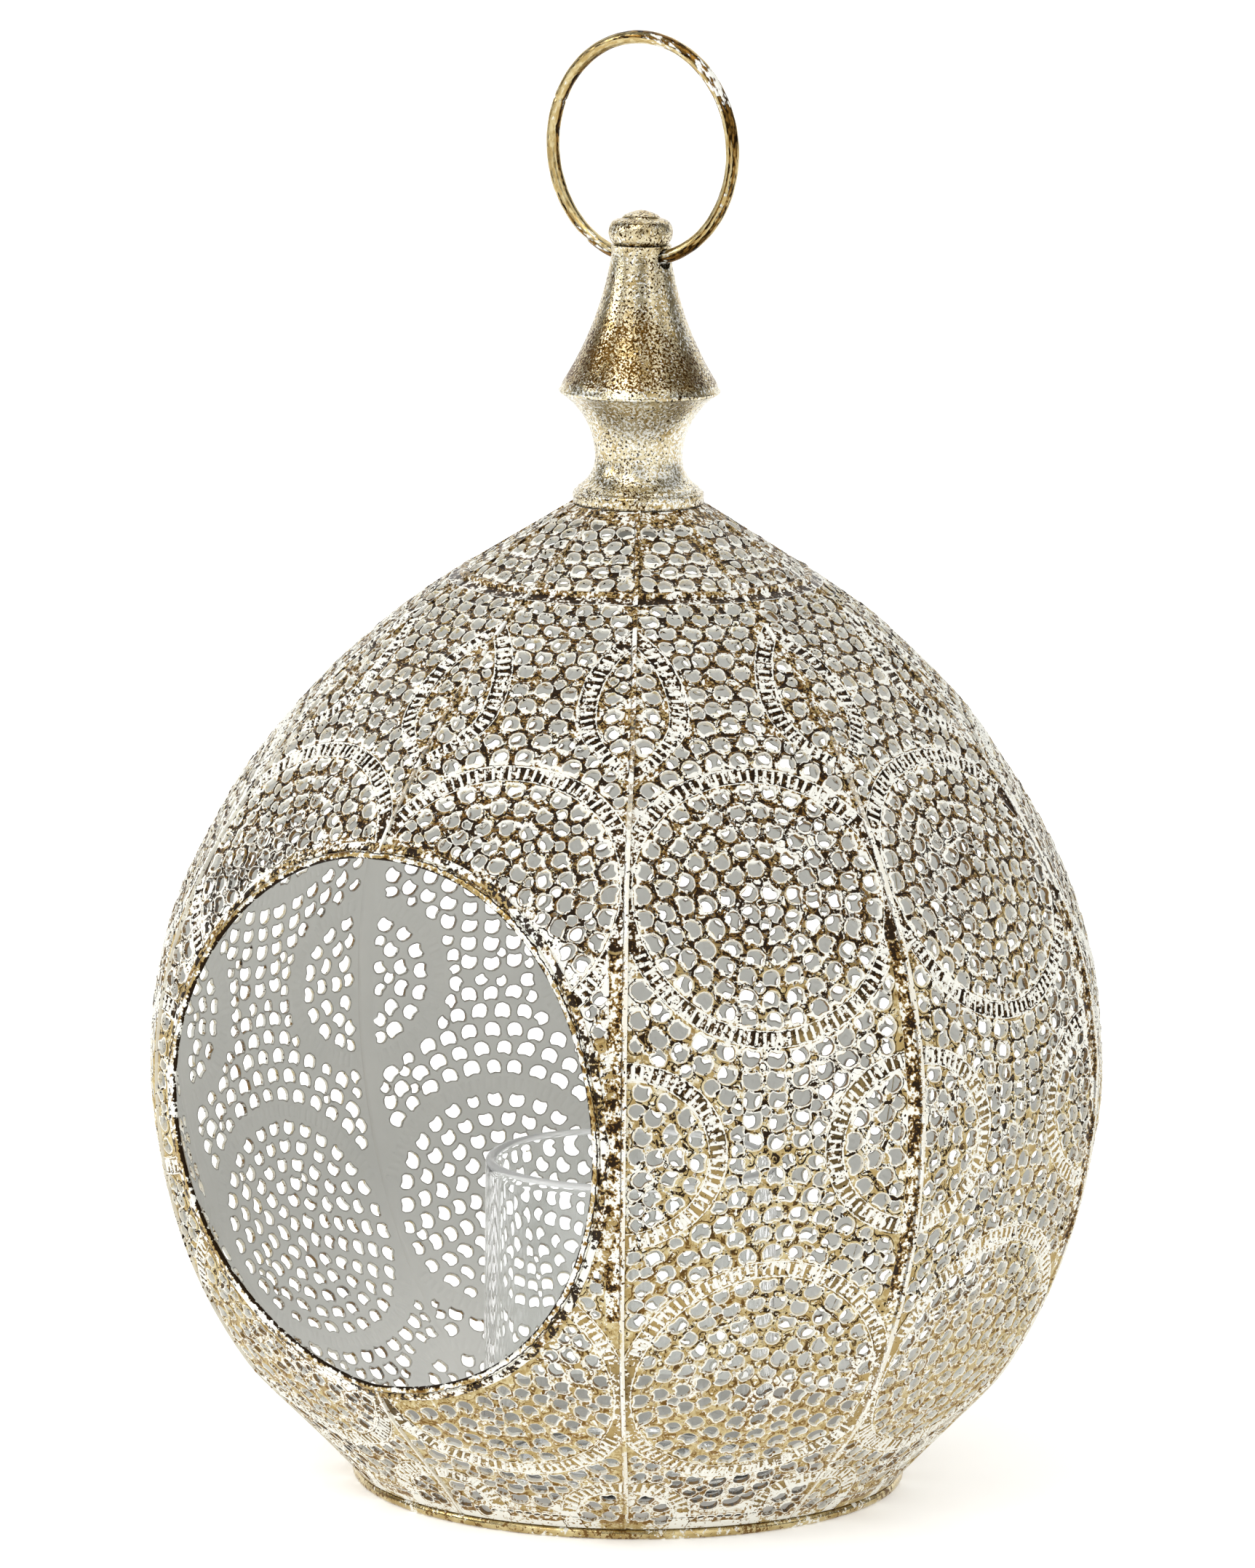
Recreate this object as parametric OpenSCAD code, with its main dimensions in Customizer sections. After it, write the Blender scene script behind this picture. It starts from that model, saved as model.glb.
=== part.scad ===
// Hanging candle lantern: an onion-shaped shell of ten upright sheet gores on a
// round base, with a round side mouth, a turned finial and a swinging hanging ring.
// The origin is the centre of the base's underside; the mouth faces -Y.

/* [Shell] */
// Outer radius of the shell at its widest
belly_r = 130; // [126:1:134]
// Height of the widest place above the table
belly_z = 120; // [118:1:122]
// Thickness of the gore sheet
sheet_t = 0.8; // [0.6:0.1:1.2]

/* [Mouth] */
// Clear radius inside the rolled rim
mouth_r = 70; // [66:1:71]
// Height of the mouth's centre above the table
mouth_z = 116; // [113:1:119]
// Radius of the rolled rim's bead
mouth_bead_r = 1.7; // [1.3:0.1:2.0]

/* [Base] */
// Radius of the bead that edges the foot, to its outside
foot_r = 76; // [75.8:0.1:76.4]
// Radius of the foot bead's section
foot_bead_r = 1.5; // [1.3:0.1:1.6]
// Thickness of the base plate
plate_t = 1; // [0.8:0.1:1.2]

/* [Finial] */
// Radius of the finial's waist
waist_r = 12; // [11:0.5:13]
// Radius of the neck that the ring passes through
neck_r = 8.3; // [8:0.1:8.6]
// Radius of the cross bore for the ring
ring_bore_r = 2.8; // [2.7:0.1:2.9]

/* [Ring] */
// Radius of the ring, to the middle of its wire
ring_r = 30; // [28:1:34]
// Radius of the ring's wire
wire_r = 1.8; // [1.5:0.1:1.9]

/* [Glass] */
// Outer radius of the glass cylinder
glass_r = 40; // [34:1:44]
// Height of the glass cylinder
glass_h = 88; // [70:1:95]
// Thickness of the glass wall
glass_wall = 2.8; // [2:0.2:4]

/* [Hidden] */
$fn = 96;

// Shell outline: tangent arcs above and below the belly, straight at both ends.
gore_count = 10;
gore_angle = 360 / gore_count;
first_seam = -90;
upper_belly = [121, 26];   // arc radius, slope at its end
shoulder = [191, 58];
lower_belly = [148, 32];
heel = [77, 41];
arc_step = 5;
spool_arc_step = 10;
gore_foot_z = 3.4;
gore_tip_r = 17.6;

// Base
bead_gap = 0.3;
plate_r = foot_r - 2 * foot_bead_r - bead_gap;
lip_t = 0.8;
lip_z = 9;
lip_gap = 0.35;

// Finial, from the shell's neck upwards
neck_z = 270;
neck_boss_r = 16.5;
neck_flange_r = 20;
neck_flange_t = 2.4;
neck_flange_drop = 3;
foot_disc_r = 17.8;
foot_disc_h = 3.6;
foot_disc_edge = 0.8;
waist_z = 282.5;
cove_r = 9;
cove_slope = 60;
flare_r = 21;
cone_z = 300;
cone_lip_h = 1.6;
cone_lip_edge = 0.5;
cone_arc_r = 90;
cone_lip_slope = 33;
cone_neck_slope = 8;
cone_top_z = 340.4;
spigot_r = 3.5;
spigot_h = 2.6;
spigot_gap = 0.1;
knob_r = 8.7;
knob_arc_r = 4.8;
knob_slope = 37;
dome_r = 5.2;
dome_arc_r = 5.61;

// Screw that clamps the finial to the shell from inside
screw_r = 2.95;
screw_hole_r = 3.3;
thread_r = 3;
screw_end_z = 322;
thread_end_z = 325;
head_r = 5.77;
head_h = 4;
washer_r = 9;
washer_t = 1.6;

// Ring: its middle line runs half a sagitta above and below the cross bore's axis
pivot_z = 337;
bore_sagitta = ring_r - sqrt(ring_r * ring_r - neck_r * neck_r);
ring_centre_z = pivot_z + ring_r - bore_sagitta / 2;

// Glass
glass_floor = 4;

// Points of an arc that starts at p with slope a0 and ends with slope a1, without p itself.
// A slope is in degrees off the vertical and leans towards the axis as the outline climbs.
// up is 1 for an outline that climbs and -1 for one that falls; r is negative on a hollow curve.
function slope_arc(p, r, a0, a1, up, step = arc_step) =
  let (n = ceil(abs(a1 - a0) / step))
  [for (i = [1:n])
    let (a = a0 + (a1 - a0) * i / n)
    [p[0] - r * (cos(a0) - cos(a)), p[1] + up * r * (sin(a) - sin(a0))]];

function backwards(points) = [for (i = [len(points) - 1:-1:0]) points[i]];

function last(points) = points[len(points) - 1];

// Shell outline from the foot to the neck
belly_point = [belly_r, belly_z];
lower_arc = slope_arc(belly_point, lower_belly[0], 0, lower_belly[1], -1);
heel_arc = slope_arc(last(lower_arc), heel[0], lower_belly[1], heel[1], -1);
upper_arc = slope_arc(belly_point, upper_belly[0], 0, upper_belly[1], 1);
shoulder_arc = slope_arc(last(upper_arc), shoulder[0], upper_belly[1], shoulder[1], 1);
gore_foot = [last(heel_arc)[0] - (last(heel_arc)[1] - gore_foot_z) * tan(heel[1]), gore_foot_z];
gore_tip = [gore_tip_r,
            last(shoulder_arc)[1] + (last(shoulder_arc)[0] - gore_tip_r) / tan(shoulder[1])];
shell_outline = concat(
  [gore_foot], backwards(heel_arc), backwards(lower_arc), [belly_point],
  upper_arc, shoulder_arc, [gore_tip]);

// Point i of an outline, moved inwards by the sheet's thickness, square to the sheet
function inner_point(points, i) =
  let (a = points[max(i - 1, 0)],
       b = points[min(i + 1, len(points) - 1)],
       d = (b - a) / norm(b - a))
  points[i] + sheet_t * [-d[1], d[0]];

inner_outline = [for (i = [0:len(shell_outline) - 1]) inner_point(shell_outline, i)];

// Mouth: the rim lies in a plane across the shell, and the gores stop just outside its bead
mouth_y = sqrt(belly_r * belly_r - mouth_r * mouth_r);
mouth_cut_r = mouth_r + 2 * mouth_bead_r + bead_gap;

module mouth_cutter() {
  translate([0, -belly_r / 2, mouth_z])
    rotate([90, 0, 0])
      cylinder(r = mouth_cut_r, h = belly_r);
}

// One upright panel of the shell, between two neighbouring seams
module gore(index) {
  color("#c2ad83")
    difference() {
      rotate([0, 0, first_seam + (index - 1) * gore_angle])
        rotate_extrude(angle = gore_angle)
          polygon(concat(shell_outline, backwards(inner_outline)));
      if (index == 1 || index == gore_count)
        mouth_cutter();
    }
}

module gore_01() { gore(1); }
module gore_02() { gore(2); }
module gore_03() { gore(3); }
module gore_04() { gore(4); }
module gore_05() { gore(5); }
module gore_06() { gore(6); }
module gore_07() { gore(7); }
module gore_08() { gore(8); }
module gore_09() { gore(9); }
module gore_10() { gore(10); }

// Rolled bead that edges the round mouth
module mouth_rim() {
  color("#a8843f")
    translate([0, -mouth_y, mouth_z])
      rotate([90, 0, 0])
        rotate_extrude()
          translate([mouth_r + mouth_bead_r, 0])
            circle(r = mouth_bead_r);
}

// Flat plate with a flared lip that stands inside the gores' lower ends
module base_plate() {
  flank = [tan(heel[1]), 1];
  square_in = lip_t * [-cos(heel[1]), sin(heel[1])];
  lip_foot = gore_foot - [sheet_t / cos(heel[1]) + lip_gap, 0];
  lip_top = lip_foot + (lip_z - gore_foot_z) * flank;
  bend_z = 2 * foot_bead_r - 2 * bead_gap;
  color("#b39a63")
    rotate_extrude()
      polygon([
        [0, 0],
        [plate_r, 0],
        [plate_r, bend_z],
        lip_foot,
        lip_top,
        lip_top + square_in,
        lip_foot + square_in,
        [plate_r - lip_t, bend_z],
        [plate_r - lip_t, plate_t],
        [0, plate_t]]);
}

// Rolled bead round the foot
module base_rim() {
  color("#a8843f")
    rotate_extrude()
      translate([foot_r - foot_bead_r, foot_bead_r])
        circle(r = foot_bead_r);
}

// Boss and flange that join the gores' tips and carry the finial
flange_top_z = neck_z - neck_flange_drop;
flange_foot_z = flange_top_z - neck_flange_t;
module neck_plate() {
  color("#8c7a52")
    rotate_extrude()
      polygon([
        [screw_hole_r, flange_foot_z],
        [neck_flange_r, flange_foot_z],
        [neck_flange_r, flange_top_z],
        [neck_boss_r, flange_top_z],
        [neck_boss_r, neck_z],
        [screw_hole_r, neck_z]]);
}

// Lower finial piece: a foot disc, a waist and a flare that meets the cone
module finial_spool() {
  cove_foot = [waist_r + cove_r * (1 - cos(cove_slope)), waist_z - cove_r * sin(cove_slope)];
  flare_slope = asin((cone_z - waist_z) / flare_r);
  color("#b8985a")
    rotate_extrude()
      polygon(concat(
        [[screw_hole_r, neck_z],
         [foot_disc_r, neck_z],
         [foot_disc_r, neck_z + foot_disc_h],
         [foot_disc_r - foot_disc_edge, neck_z + foot_disc_h + foot_disc_edge],
         cove_foot],
        slope_arc(cove_foot, -cove_r, cove_slope, 0, 1, spool_arc_step),
        slope_arc([waist_r, waist_z], -flare_r, 0, -flare_slope, 1, spool_arc_step),
        [[screw_hole_r, cone_z]]));
}

// Upper finial piece: a flared cone with a lip, bored across for the ring
module finial_cone() {
  lip_r = neck_r + cone_arc_r * (cos(cone_neck_slope) - cos(cone_lip_slope));
  lip_top = [lip_r, cone_z + cone_lip_h];
  spigot_z = cone_top_z + spigot_h;
  color("#b8985a")
    difference() {
      rotate_extrude()
        polygon(concat(
          [[thread_r, cone_z],
           [lip_r - cone_lip_edge, cone_z],
           [lip_r, cone_z + cone_lip_edge],
           lip_top],
          slope_arc(lip_top, -cone_arc_r, cone_lip_slope, cone_neck_slope, 1),
          [[neck_r, cone_top_z],
           [spigot_r, cone_top_z],
           [spigot_r, spigot_z],
           [0, spigot_z],
           [0, thread_end_z],
           [thread_r, thread_end_z]]));
      translate([-2 * neck_r, 0, pivot_z])
        rotate([0, 90, 0])
          cylinder(r = ring_bore_r, h = 4 * neck_r);
    }
}

// Bead and dome that sit on the cone's spigot
module finial_knob() {
  socket_r = spigot_r + spigot_gap;
  socket_z = cone_top_z + spigot_h + spigot_gap;
  bead_foot = [knob_r - knob_arc_r * (1 - cos(knob_slope)), cone_top_z];
  bead = slope_arc(bead_foot, knob_arc_r, -knob_slope, knob_slope, 1);
  dome_foot = [dome_r, last(bead)[1]];
  color("#b8985a")
    rotate_extrude()
      polygon(concat(
        [[socket_r, cone_top_z], bead_foot],
        bead,
        [dome_foot],
        slope_arc(dome_foot, dome_arc_r, acos(dome_r / dome_arc_r), 90, 1),
        [[0, socket_z], [socket_r, socket_z]]));
}

// Hexagon screw that pulls the finial down on the neck plate
module finial_screw() {
  head_top_z = flange_foot_z - washer_t;
  color("#8f8f8f")
    union() {
      translate([0, 0, head_top_z - head_h])
        cylinder(r = head_r, h = head_h, $fn = 6);
      translate([0, 0, head_top_z - head_h])
        cylinder(r = screw_r, h = screw_end_z - head_top_z + head_h);
    }
}

// Washer between the screw's head and the neck plate
module screw_washer() {
  color("#9a9a9a")
    translate([0, 0, flange_foot_z - washer_t])
      difference() {
        cylinder(r = washer_r, h = washer_t);
        translate([0, 0, -washer_t])
          cylinder(r = screw_hole_r, h = 3 * washer_t);
      }
}

// Wire ring that swings in the cone's cross bore
module hanging_ring() {
  color("#a98a4a")
    translate([0, 0, ring_centre_z])
      rotate([90, 0, 0])
        rotate_extrude()
          translate([ring_r, 0])
            circle(r = wire_r);
}

// Clear cup that stands loose on the base plate and holds a pillar candle
module glass_cylinder() {
  color("#dfe8ea", 0.35)
    rotate_extrude()
      polygon([
        [0, plate_t],
        [glass_r, plate_t],
        [glass_r, plate_t + glass_h],
        [glass_r - glass_wall, plate_t + glass_h],
        [glass_r - glass_wall, plate_t + glass_floor],
        [0, plate_t + glass_floor]]);
}

gore_01();
gore_02();
gore_03();
gore_04();
gore_05();
gore_06();
gore_07();
gore_08();
gore_09();
gore_10();
mouth_rim();
base_plate();
base_rim();
neck_plate();
finial_spool();
finial_cone();
finial_knob();
finial_screw();
screw_washer();
hanging_ring();
glass_cylinder();
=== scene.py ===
"""Hanging candle lantern: pierced and embossed gores, turned finial, swinging ring and a clear glass."""
import math
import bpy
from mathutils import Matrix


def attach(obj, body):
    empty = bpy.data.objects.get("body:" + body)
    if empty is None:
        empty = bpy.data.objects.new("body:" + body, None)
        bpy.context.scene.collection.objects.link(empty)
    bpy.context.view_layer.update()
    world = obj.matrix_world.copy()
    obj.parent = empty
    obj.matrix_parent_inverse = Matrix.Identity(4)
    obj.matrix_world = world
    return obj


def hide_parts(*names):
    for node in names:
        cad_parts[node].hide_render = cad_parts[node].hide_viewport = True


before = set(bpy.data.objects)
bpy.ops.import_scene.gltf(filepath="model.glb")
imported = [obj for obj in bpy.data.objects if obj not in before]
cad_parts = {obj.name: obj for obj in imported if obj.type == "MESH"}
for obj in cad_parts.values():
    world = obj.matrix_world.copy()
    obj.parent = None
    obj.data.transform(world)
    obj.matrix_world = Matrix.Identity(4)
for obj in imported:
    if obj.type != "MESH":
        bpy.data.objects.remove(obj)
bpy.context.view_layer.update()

from types import SimpleNamespace

import bpy
import numpy as np
from mathutils import Matrix, Vector
from mathutils.geometry import delaunay_2d_cdt

MM = 0.001

# ---------------------------------------------------------------- shell outline, in millimetres
# The shell is a surface of revolution with ten soft facets. A place on it is (s, m): m runs up the
# outline from the belly, and s runs sideways from the middle of a gore.
GORES = 10
HALF = math.pi / GORES
FIRST_SEAM = -math.pi / 2
BELLY = (130.0, 120.0)
UPPER_BELLY, SHOULDER = (121.0, 26.0), (191.0, 58.0)
LOWER_BELLY, HEEL = (148.0, 32.0), (77.0, 41.0)
FOOT_Z, TIP_R = 3.4, 17.6
SHEET = 0.7
FACET = 0.027       # how far the seams stand out of the round, as a share of the radius
SINK = 0.005        # how far the middle of a gore lies inside the round
MOUTH_R, MOUTH_X, MOUTH_Z = 70.0, 1.6, 116.4
MOUTH_WIDE, MOUTH_TALL = 0.987, 1.01    # the mouth was cut by hand, a little taller than it is wide
SHEET_EDGE_R, BORDER_R = 71.4, 74.7     # where the sheet and the zones of holes stop, from the mouth's axis
SWAY = 1.55         # how far the shell's belly leans out of true, towards SWAY_AZIMUTH
SWAY_AZIMUTH = math.radians(216.3)


def slope_arc(start, radius, slope_a, slope_b, up):
    """Points of an arc that starts at start; slopes are in degrees off the vertical."""
    a = np.radians(np.linspace(slope_a, slope_b, 2 + int(abs(slope_b - slope_a)))[1:])
    first = math.radians(slope_a)
    return [(start[0] - radius * (math.cos(first) - math.cos(t)),
             start[1] + up * radius * (math.sin(t) - math.sin(first))) for t in a]


def shell_outline():
    """(m, r, z) up the shell's outline, from the foot to the tip, about 1 mm apart."""
    lower = slope_arc(BELLY, LOWER_BELLY[0], 0, LOWER_BELLY[1], -1)
    heel = slope_arc(lower[-1], HEEL[0], LOWER_BELLY[1], HEEL[1], -1)
    upper = slope_arc(BELLY, UPPER_BELLY[0], 0, UPPER_BELLY[1], 1)
    shoulder = slope_arc(upper[-1], SHOULDER[0], UPPER_BELLY[1], SHOULDER[1], 1)
    foot = (heel[-1][0] - (heel[-1][1] - FOOT_Z) * math.tan(math.radians(HEEL[1])), FOOT_Z)
    rise = (shoulder[-1][0] - TIP_R) / math.tan(math.radians(SHOULDER[1]))
    tip = (TIP_R, shoulder[-1][1] + rise)
    points = [foot] + heel[::-1] + lower[::-1] + [BELLY] + upper + shoulder + [tip]
    coarse = np.array(points)
    run = np.r_[0, np.cumsum(np.hypot(*np.diff(coarse, axis=0).T))]
    fine = np.arange(0, run[-1], 1.0)
    fine = np.r_[fine[:-1], run[-1]]
    r, z = np.interp(fine, run, coarse[:, 0]), np.interp(fine, run, coarse[:, 1])
    return fine - np.interp(BELLY[1], coarse[:, 1], run), r, z


M, R, Z = shell_outline()
NORMAL_R, NORMAL_Z = np.gradient(Z, M), -np.gradient(R, M)
M_FOOT, M_TIP = M[0], M[-1]


def smooth(x, a, b):
    t = np.clip((x - a) / (b - a), 0, 1)
    return t * t * (3 - 2 * t)


def half_width(m):
    return HALF * np.interp(m, M, R)


def facet_share(m):
    return smooth(m, M_FOOT, M_FOOT + 45) * (1 - 0.8 * smooth(m, 60, M_TIP))


def gore_azimuth(gore):
    return FIRST_SEAM + (gore + 0.5) * 2 * HALF


def sway(m):
    """How far the hand-made shell stands out of true at each height."""
    share = smooth(m, M_FOOT, -45) * (1 - 0.72 * smooth(m, 62, 118)) * (1 - smooth(m, 145, M_TIP))
    return SWAY * share


def shell_xyz(gore, s, m, lift, true=False):
    """Places on the shell, in millimetres, lift above the sheet's outer face."""
    r, z = np.interp(m, M, R), np.interp(m, M, Z)
    turn = s / r
    out = r * (1 - SINK + FACET * facet_share(m) * (turn / HALF) ** 2)
    out = out + lift * np.interp(m, M, NORMAL_R)
    azimuth = gore_azimuth(gore) + turn
    aside = 0 * m if true else sway(m)
    return np.stack([out * np.cos(azimuth) + aside * math.cos(SWAY_AZIMUTH),
                     out * np.sin(azimuth) + aside * math.sin(SWAY_AZIMUTH),
                     z + lift * np.interp(m, M, NORMAL_Z)], -1)


def mouth_gap(gore, s, m):
    """Distance from the mouth's axis, on the two gores that the mouth cuts."""
    if gore not in (0, GORES - 1):
        return np.full(np.shape(s), 1e3)
    p = shell_xyz(gore, s, m, 0, True)
    return np.hypot((p[..., 0] - MOUTH_X) / MOUTH_WIDE, (p[..., 2] - MOUTH_Z) / MOUTH_TALL)


def mouth_seam_turn(radius):
    """Angle round the mouth, off its right side, at which the mouth's edge crosses the front seam."""
    return math.acos(-MOUTH_X / (MOUTH_WIDE * radius))


def mouth_edge(gore, radius, turn):
    """(s, m) of points on a rounded edge about the mouth's axis."""
    x, z = MOUTH_X + MOUTH_WIDE * radius * np.cos(turn), MOUTH_Z + MOUTH_TALL * radius * np.sin(turn)
    m = np.interp(z, Z, M)
    r = np.interp(m, M, R)
    theta = np.zeros_like(x)
    for _ in range(8):
        out = r * (1 - SINK + FACET * facet_share(m) * (theta / HALF) ** 2)
        theta = np.arcsin(np.clip(x / out, -1, 1)) - math.pi / 2 - gore_azimuth(gore)
        theta = (theta + math.pi) % (2 * math.pi) - math.pi
    return np.stack([theta * r, m], -1)


# ---------------------------------------------------------------- pattern of one gore
# The bordered shapes are an upper and a lower circle, half circles ("small") on each seam, leaves on the
# seams under the neck and half circles ("arch") at the foot. The zones between them are filled with scales.
PITCH, ROW = 6.8, 5.35
BAND = 5.2          # how wide the borders of ticks are
UPPER_M, UPPER_R = 62.5, 38.9
LOWER_M, LOWER_R = -70.9, 38.0
SMALL_M, SMALL_R, SMALL_STRETCH = -3.5, 25.4, 1.09
LEAF_M, LEAF_W, LEAF_UP, LEAF_DOWN = 117.0, 15.3, 32.0, 19.5
ARCH_M, ARCH_R = -128.0, 17.3
MEET_LOW, MEET_HIGH = -4.3, 128.3
FRINGE_M, ROLL_M, TOP_M, NECK_M = 157.3, 161.6, 163.2, 191.5
HEM_M, SLOT_M = -125.6, -127.6
STRIP, STRIP_REACH = 4.8, 50.0      # the plain strip beside each seam, and how far it runs up and down
EDGE = 1.3
TICK_PITCH, TICK_LONG, TICK_WIDE = 2.25, 3.7, 1.2
LINE_WIDE = 0.6
LEAF_SLOPE = 0.85   # turns a leaf's sideways distance into one square to its edge
FAR = 50.0


def leaf_width(m):
    x = np.where(m > LEAF_M, (m - LEAF_M) / LEAF_UP, (LEAF_M - m) / LEAF_DOWN)
    return LEAF_W * (1 - x ** 2)


def strip_width(m):
    return EDGE + (STRIP - EDGE) * (1 - smooth(np.abs(m), STRIP_REACH, STRIP_REACH + 4))


def edge_room(gore, s, m):
    w = half_width(m)
    return np.minimum.reduce([s + w - EDGE, w - s - strip_width(m), mouth_gap(gore, s, m) - BORDER_R])


def outlines(s, m):
    """Signed distance outside each bordered shape of the pattern, with the border's inner side at -BAND."""
    w = half_width(m)
    side = w - np.abs(s)
    by_leaf = (m > LEAF_M - LEAF_DOWN - 6) & (m < LEAF_M + LEAF_UP + 6)
    return {
        "upper": np.hypot(s, m - UPPER_M) - UPPER_R,
        "lower": np.hypot(s, m - LOWER_M) - LOWER_R,
        "small": np.hypot((np.abs(s) - half_width(SMALL_M)) / SMALL_STRETCH, m - SMALL_M) - SMALL_R,
        "leaf": np.where(by_leaf, (side - leaf_width(m)) * LEAF_SLOPE, FAR),
        "arch": np.hypot(np.abs(s) - half_width(ARCH_M), m - ARCH_M) - ARCH_R,
    }


def zone_rooms(gore, s, m):
    """Room left for holes in each zone; negative outside the zone."""
    d = outlines(s, m)
    edge = edge_room(gore, s, m)
    shapes = np.minimum.reduce(list(d.values()))
    rooms = {name: np.minimum(-BAND - v, edge) for name, v in d.items()}
    rooms["dome"] = np.minimum.reduce([shapes, edge, FRINGE_M - 0.6 - m, m - MEET_HIGH + 0.5])
    rooms["over"] = np.minimum.reduce([shapes, edge, MEET_HIGH + 0.5 - m, m - MEET_LOW + 0.5])
    rooms["under"] = np.minimum.reduce([shapes, edge, MEET_LOW + 0.5 - m, m - HEM_M - 0.3])
    rooms["neck"] = np.minimum.reduce([edge, m - TOP_M, NECK_M - m])
    return rooms


def ring_holes(zone, centre, radii, outward, size, stretch=1.0, phase=0.0):
    """Rows of scales round a centre; size is half width, half height and pitch."""
    found = []
    for row, radius in enumerate(radii):
        count = max(1, round(2 * math.pi * radius * (1 + stretch) / 2 / size[2]))
        t = 2 * math.pi * (np.arange(count) + 0.5 * (row % 2) + phase) / count + math.pi / 2
        x, y = centre[0] + stretch * radius * np.cos(t), centre[1] + radius * np.sin(t)
        heading = t if outward else t + math.pi
        found.append(np.stack([x, y, heading, np.full(count, size[0]), np.full(count, size[1])], -1))
    return zone, np.concatenate(found)


def straight_holes(zone, rows, heading, size):
    """Level rows of scales; every other row is set half a pitch aside."""
    found = []
    for row, m in enumerate(rows):
        w = half_width(m)
        x = (np.arange(-8, 9) + 0.5 * (row % 2)) * size[2]
        x = x[np.abs(x) < w]
        found.append(np.stack([x, np.full_like(x, m), np.full_like(x, heading),
                               np.full_like(x, size[0]), np.full_like(x, size[1])], -1))
    return zone, np.concatenate(found)


def candidate_holes():
    """(zone, holes) for each zone; a hole is s, m, heading of its round end, half width, half height."""
    field, inner, tight = (2.52, 2.16, PITCH), (2.32, 2.0, 6.5), (2.2, 1.95, 6.1)
    far = [UPPER_R + 2.7 + ROW * i for i in range(6)]
    near = [LOWER_R + 2.3 + ROW * i for i in range(6)]
    seam = half_width(SMALL_M)
    base = half_width(ARCH_M)
    made = [
        ring_holes("over", (0, UPPER_M), far, True, field),
        ring_holes("under", (0, LOWER_M), near, True, field),
        ring_holes("upper", (0, UPPER_M), [31.2, 25.7, 20.2, 14.7, 9.3, 4.0], False, inner),
        ring_holes("lower", (0, LOWER_M), [30.4, 25.0, 19.6, 14.3, 9.1, 4.0], False, inner),
        straight_holes("dome", [MEET_HIGH + 3 + 4.95 * i for i in range(6)], -math.pi / 2, field),
        straight_holes("neck", [165.6 + 5.3 * i for i in range(5)], math.pi / 2, (2.2, 1.95, 6.3)),
    ]
    for side in (-1, 1):
        centre = (side * seam, SMALL_M)
        made.append(ring_holes("small", centre, [17.8, 12.5, 7.2], False, inner, SMALL_STRETCH, 0.25))
        made.append(ring_holes("arch", (side * base, ARCH_M), [9.6], False, tight, 1.0, 0.4))
        leaf_m = np.arange(LEAF_M - 10, LEAF_M + 24, 5.6)
        for column, offset in enumerate((5.2, 10.4)):
            m = leaf_m + 2.8 * column
            s = side * (half_width(m) - offset)
            holes = np.stack([s, m, np.full_like(m, -math.pi / 2 - side * 0.5),
                              np.full_like(m, 2.05), np.full_like(m, 2.05)], -1)
            made.append(("leaf", holes))
    return made


# a scale's hole, for a half width and half height of 1: a round end and a notched, straighter one
ROUND_END = np.radians(np.linspace(0, 180, 9))
HOLE_X = np.r_[np.cos(ROUND_END), -0.97, -0.72, 0.0, 0.72, 0.97]
HOLE_Y = np.r_[0.05 + 0.95 * np.sin(ROUND_END), -0.62, -1.0, -0.82, -1.0, -0.62]
SIDES = len(HOLE_X)


def hole_outlines(holes, rng):
    """(count, SIDES, 2) closed outlines, each a little different, as punched by hand."""
    n = len(holes)
    grow = rng.normal(1.0, 0.045, (n, 2))
    skew = rng.normal(0.0, 0.10, n)[:, None]
    lean = holes[:, 2] - math.pi / 2 + rng.normal(0, 0.11, n)
    x = HOLE_X * (holes[:, 3] * grow[:, 0])[:, None]
    y = HOLE_Y * (holes[:, 4] * grow[:, 1])[:, None]
    x = x + skew * y + rng.normal(0, 0.05, (n, SIDES))
    y = y + rng.normal(0, 0.05, (n, SIDES))
    cos, sin = np.cos(lean)[:, None], np.sin(lean)[:, None]
    return np.stack([holes[:, 0, None] + x * cos - y * sin, holes[:, 1, None] + x * sin + y * cos], -1)


def unit(v):
    return v / np.maximum(np.linalg.norm(v, axis=-1, keepdims=True), 1e-9)


def spread(outline, by):
    """Closed outlines moved outwards by a distance, corner by corner."""
    ahead, back = np.roll(outline, -1, 1) - outline, outline - np.roll(outline, 1, 1)
    along = unit(unit(ahead) + unit(back))
    return outline + by * np.stack([along[..., 1], -along[..., 0]], -1)


def nearest(points, centres, count):
    """Indices of the nearest centres to each point, in slices that keep memory small."""
    found = []
    for part in np.array_split(points, max(1, len(points) // 4000)):
        d = ((part[:, None, :] - centres[None]) ** 2).sum(-1)
        found.append(np.argpartition(d, count, axis=1)[:, :count])
    return np.concatenate(found)


def hole_gaps(points, rims, centres):
    """Each point's distances to the rims of its four nearest holes, negative inside, and which they are."""
    close = nearest(points, centres, 4)
    pick = rims[close]
    a, b = pick, np.roll(pick, -1, 2)
    ab, ap = b - a, points[:, None, None, :] - a
    t = np.clip((ap * ab).sum(-1) / (ab * ab).sum(-1), 0, 1)
    d = np.linalg.norm(ap - t[..., None] * ab, axis=-1).min(2)
    py = points[:, None, None, 1]
    crosses = (a[..., 1] > py) != (b[..., 1] > py)
    dy = np.where(np.abs(ab[..., 1]) < 1e-12, 1e-12, ab[..., 1])
    at = a[..., 0] + (py - a[..., 1]) * ab[..., 0] / dy
    inside = ((crosses & (points[:, None, None, 0] < at)).sum(2) % 2) == 1
    return np.where(inside, -d, d), close


def outline_gap(points, rims, centres):
    """Distance from each point to the nearest hole's rim, negative inside the hole."""
    return hole_gaps(points, rims, centres)[0].min(1)


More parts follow.
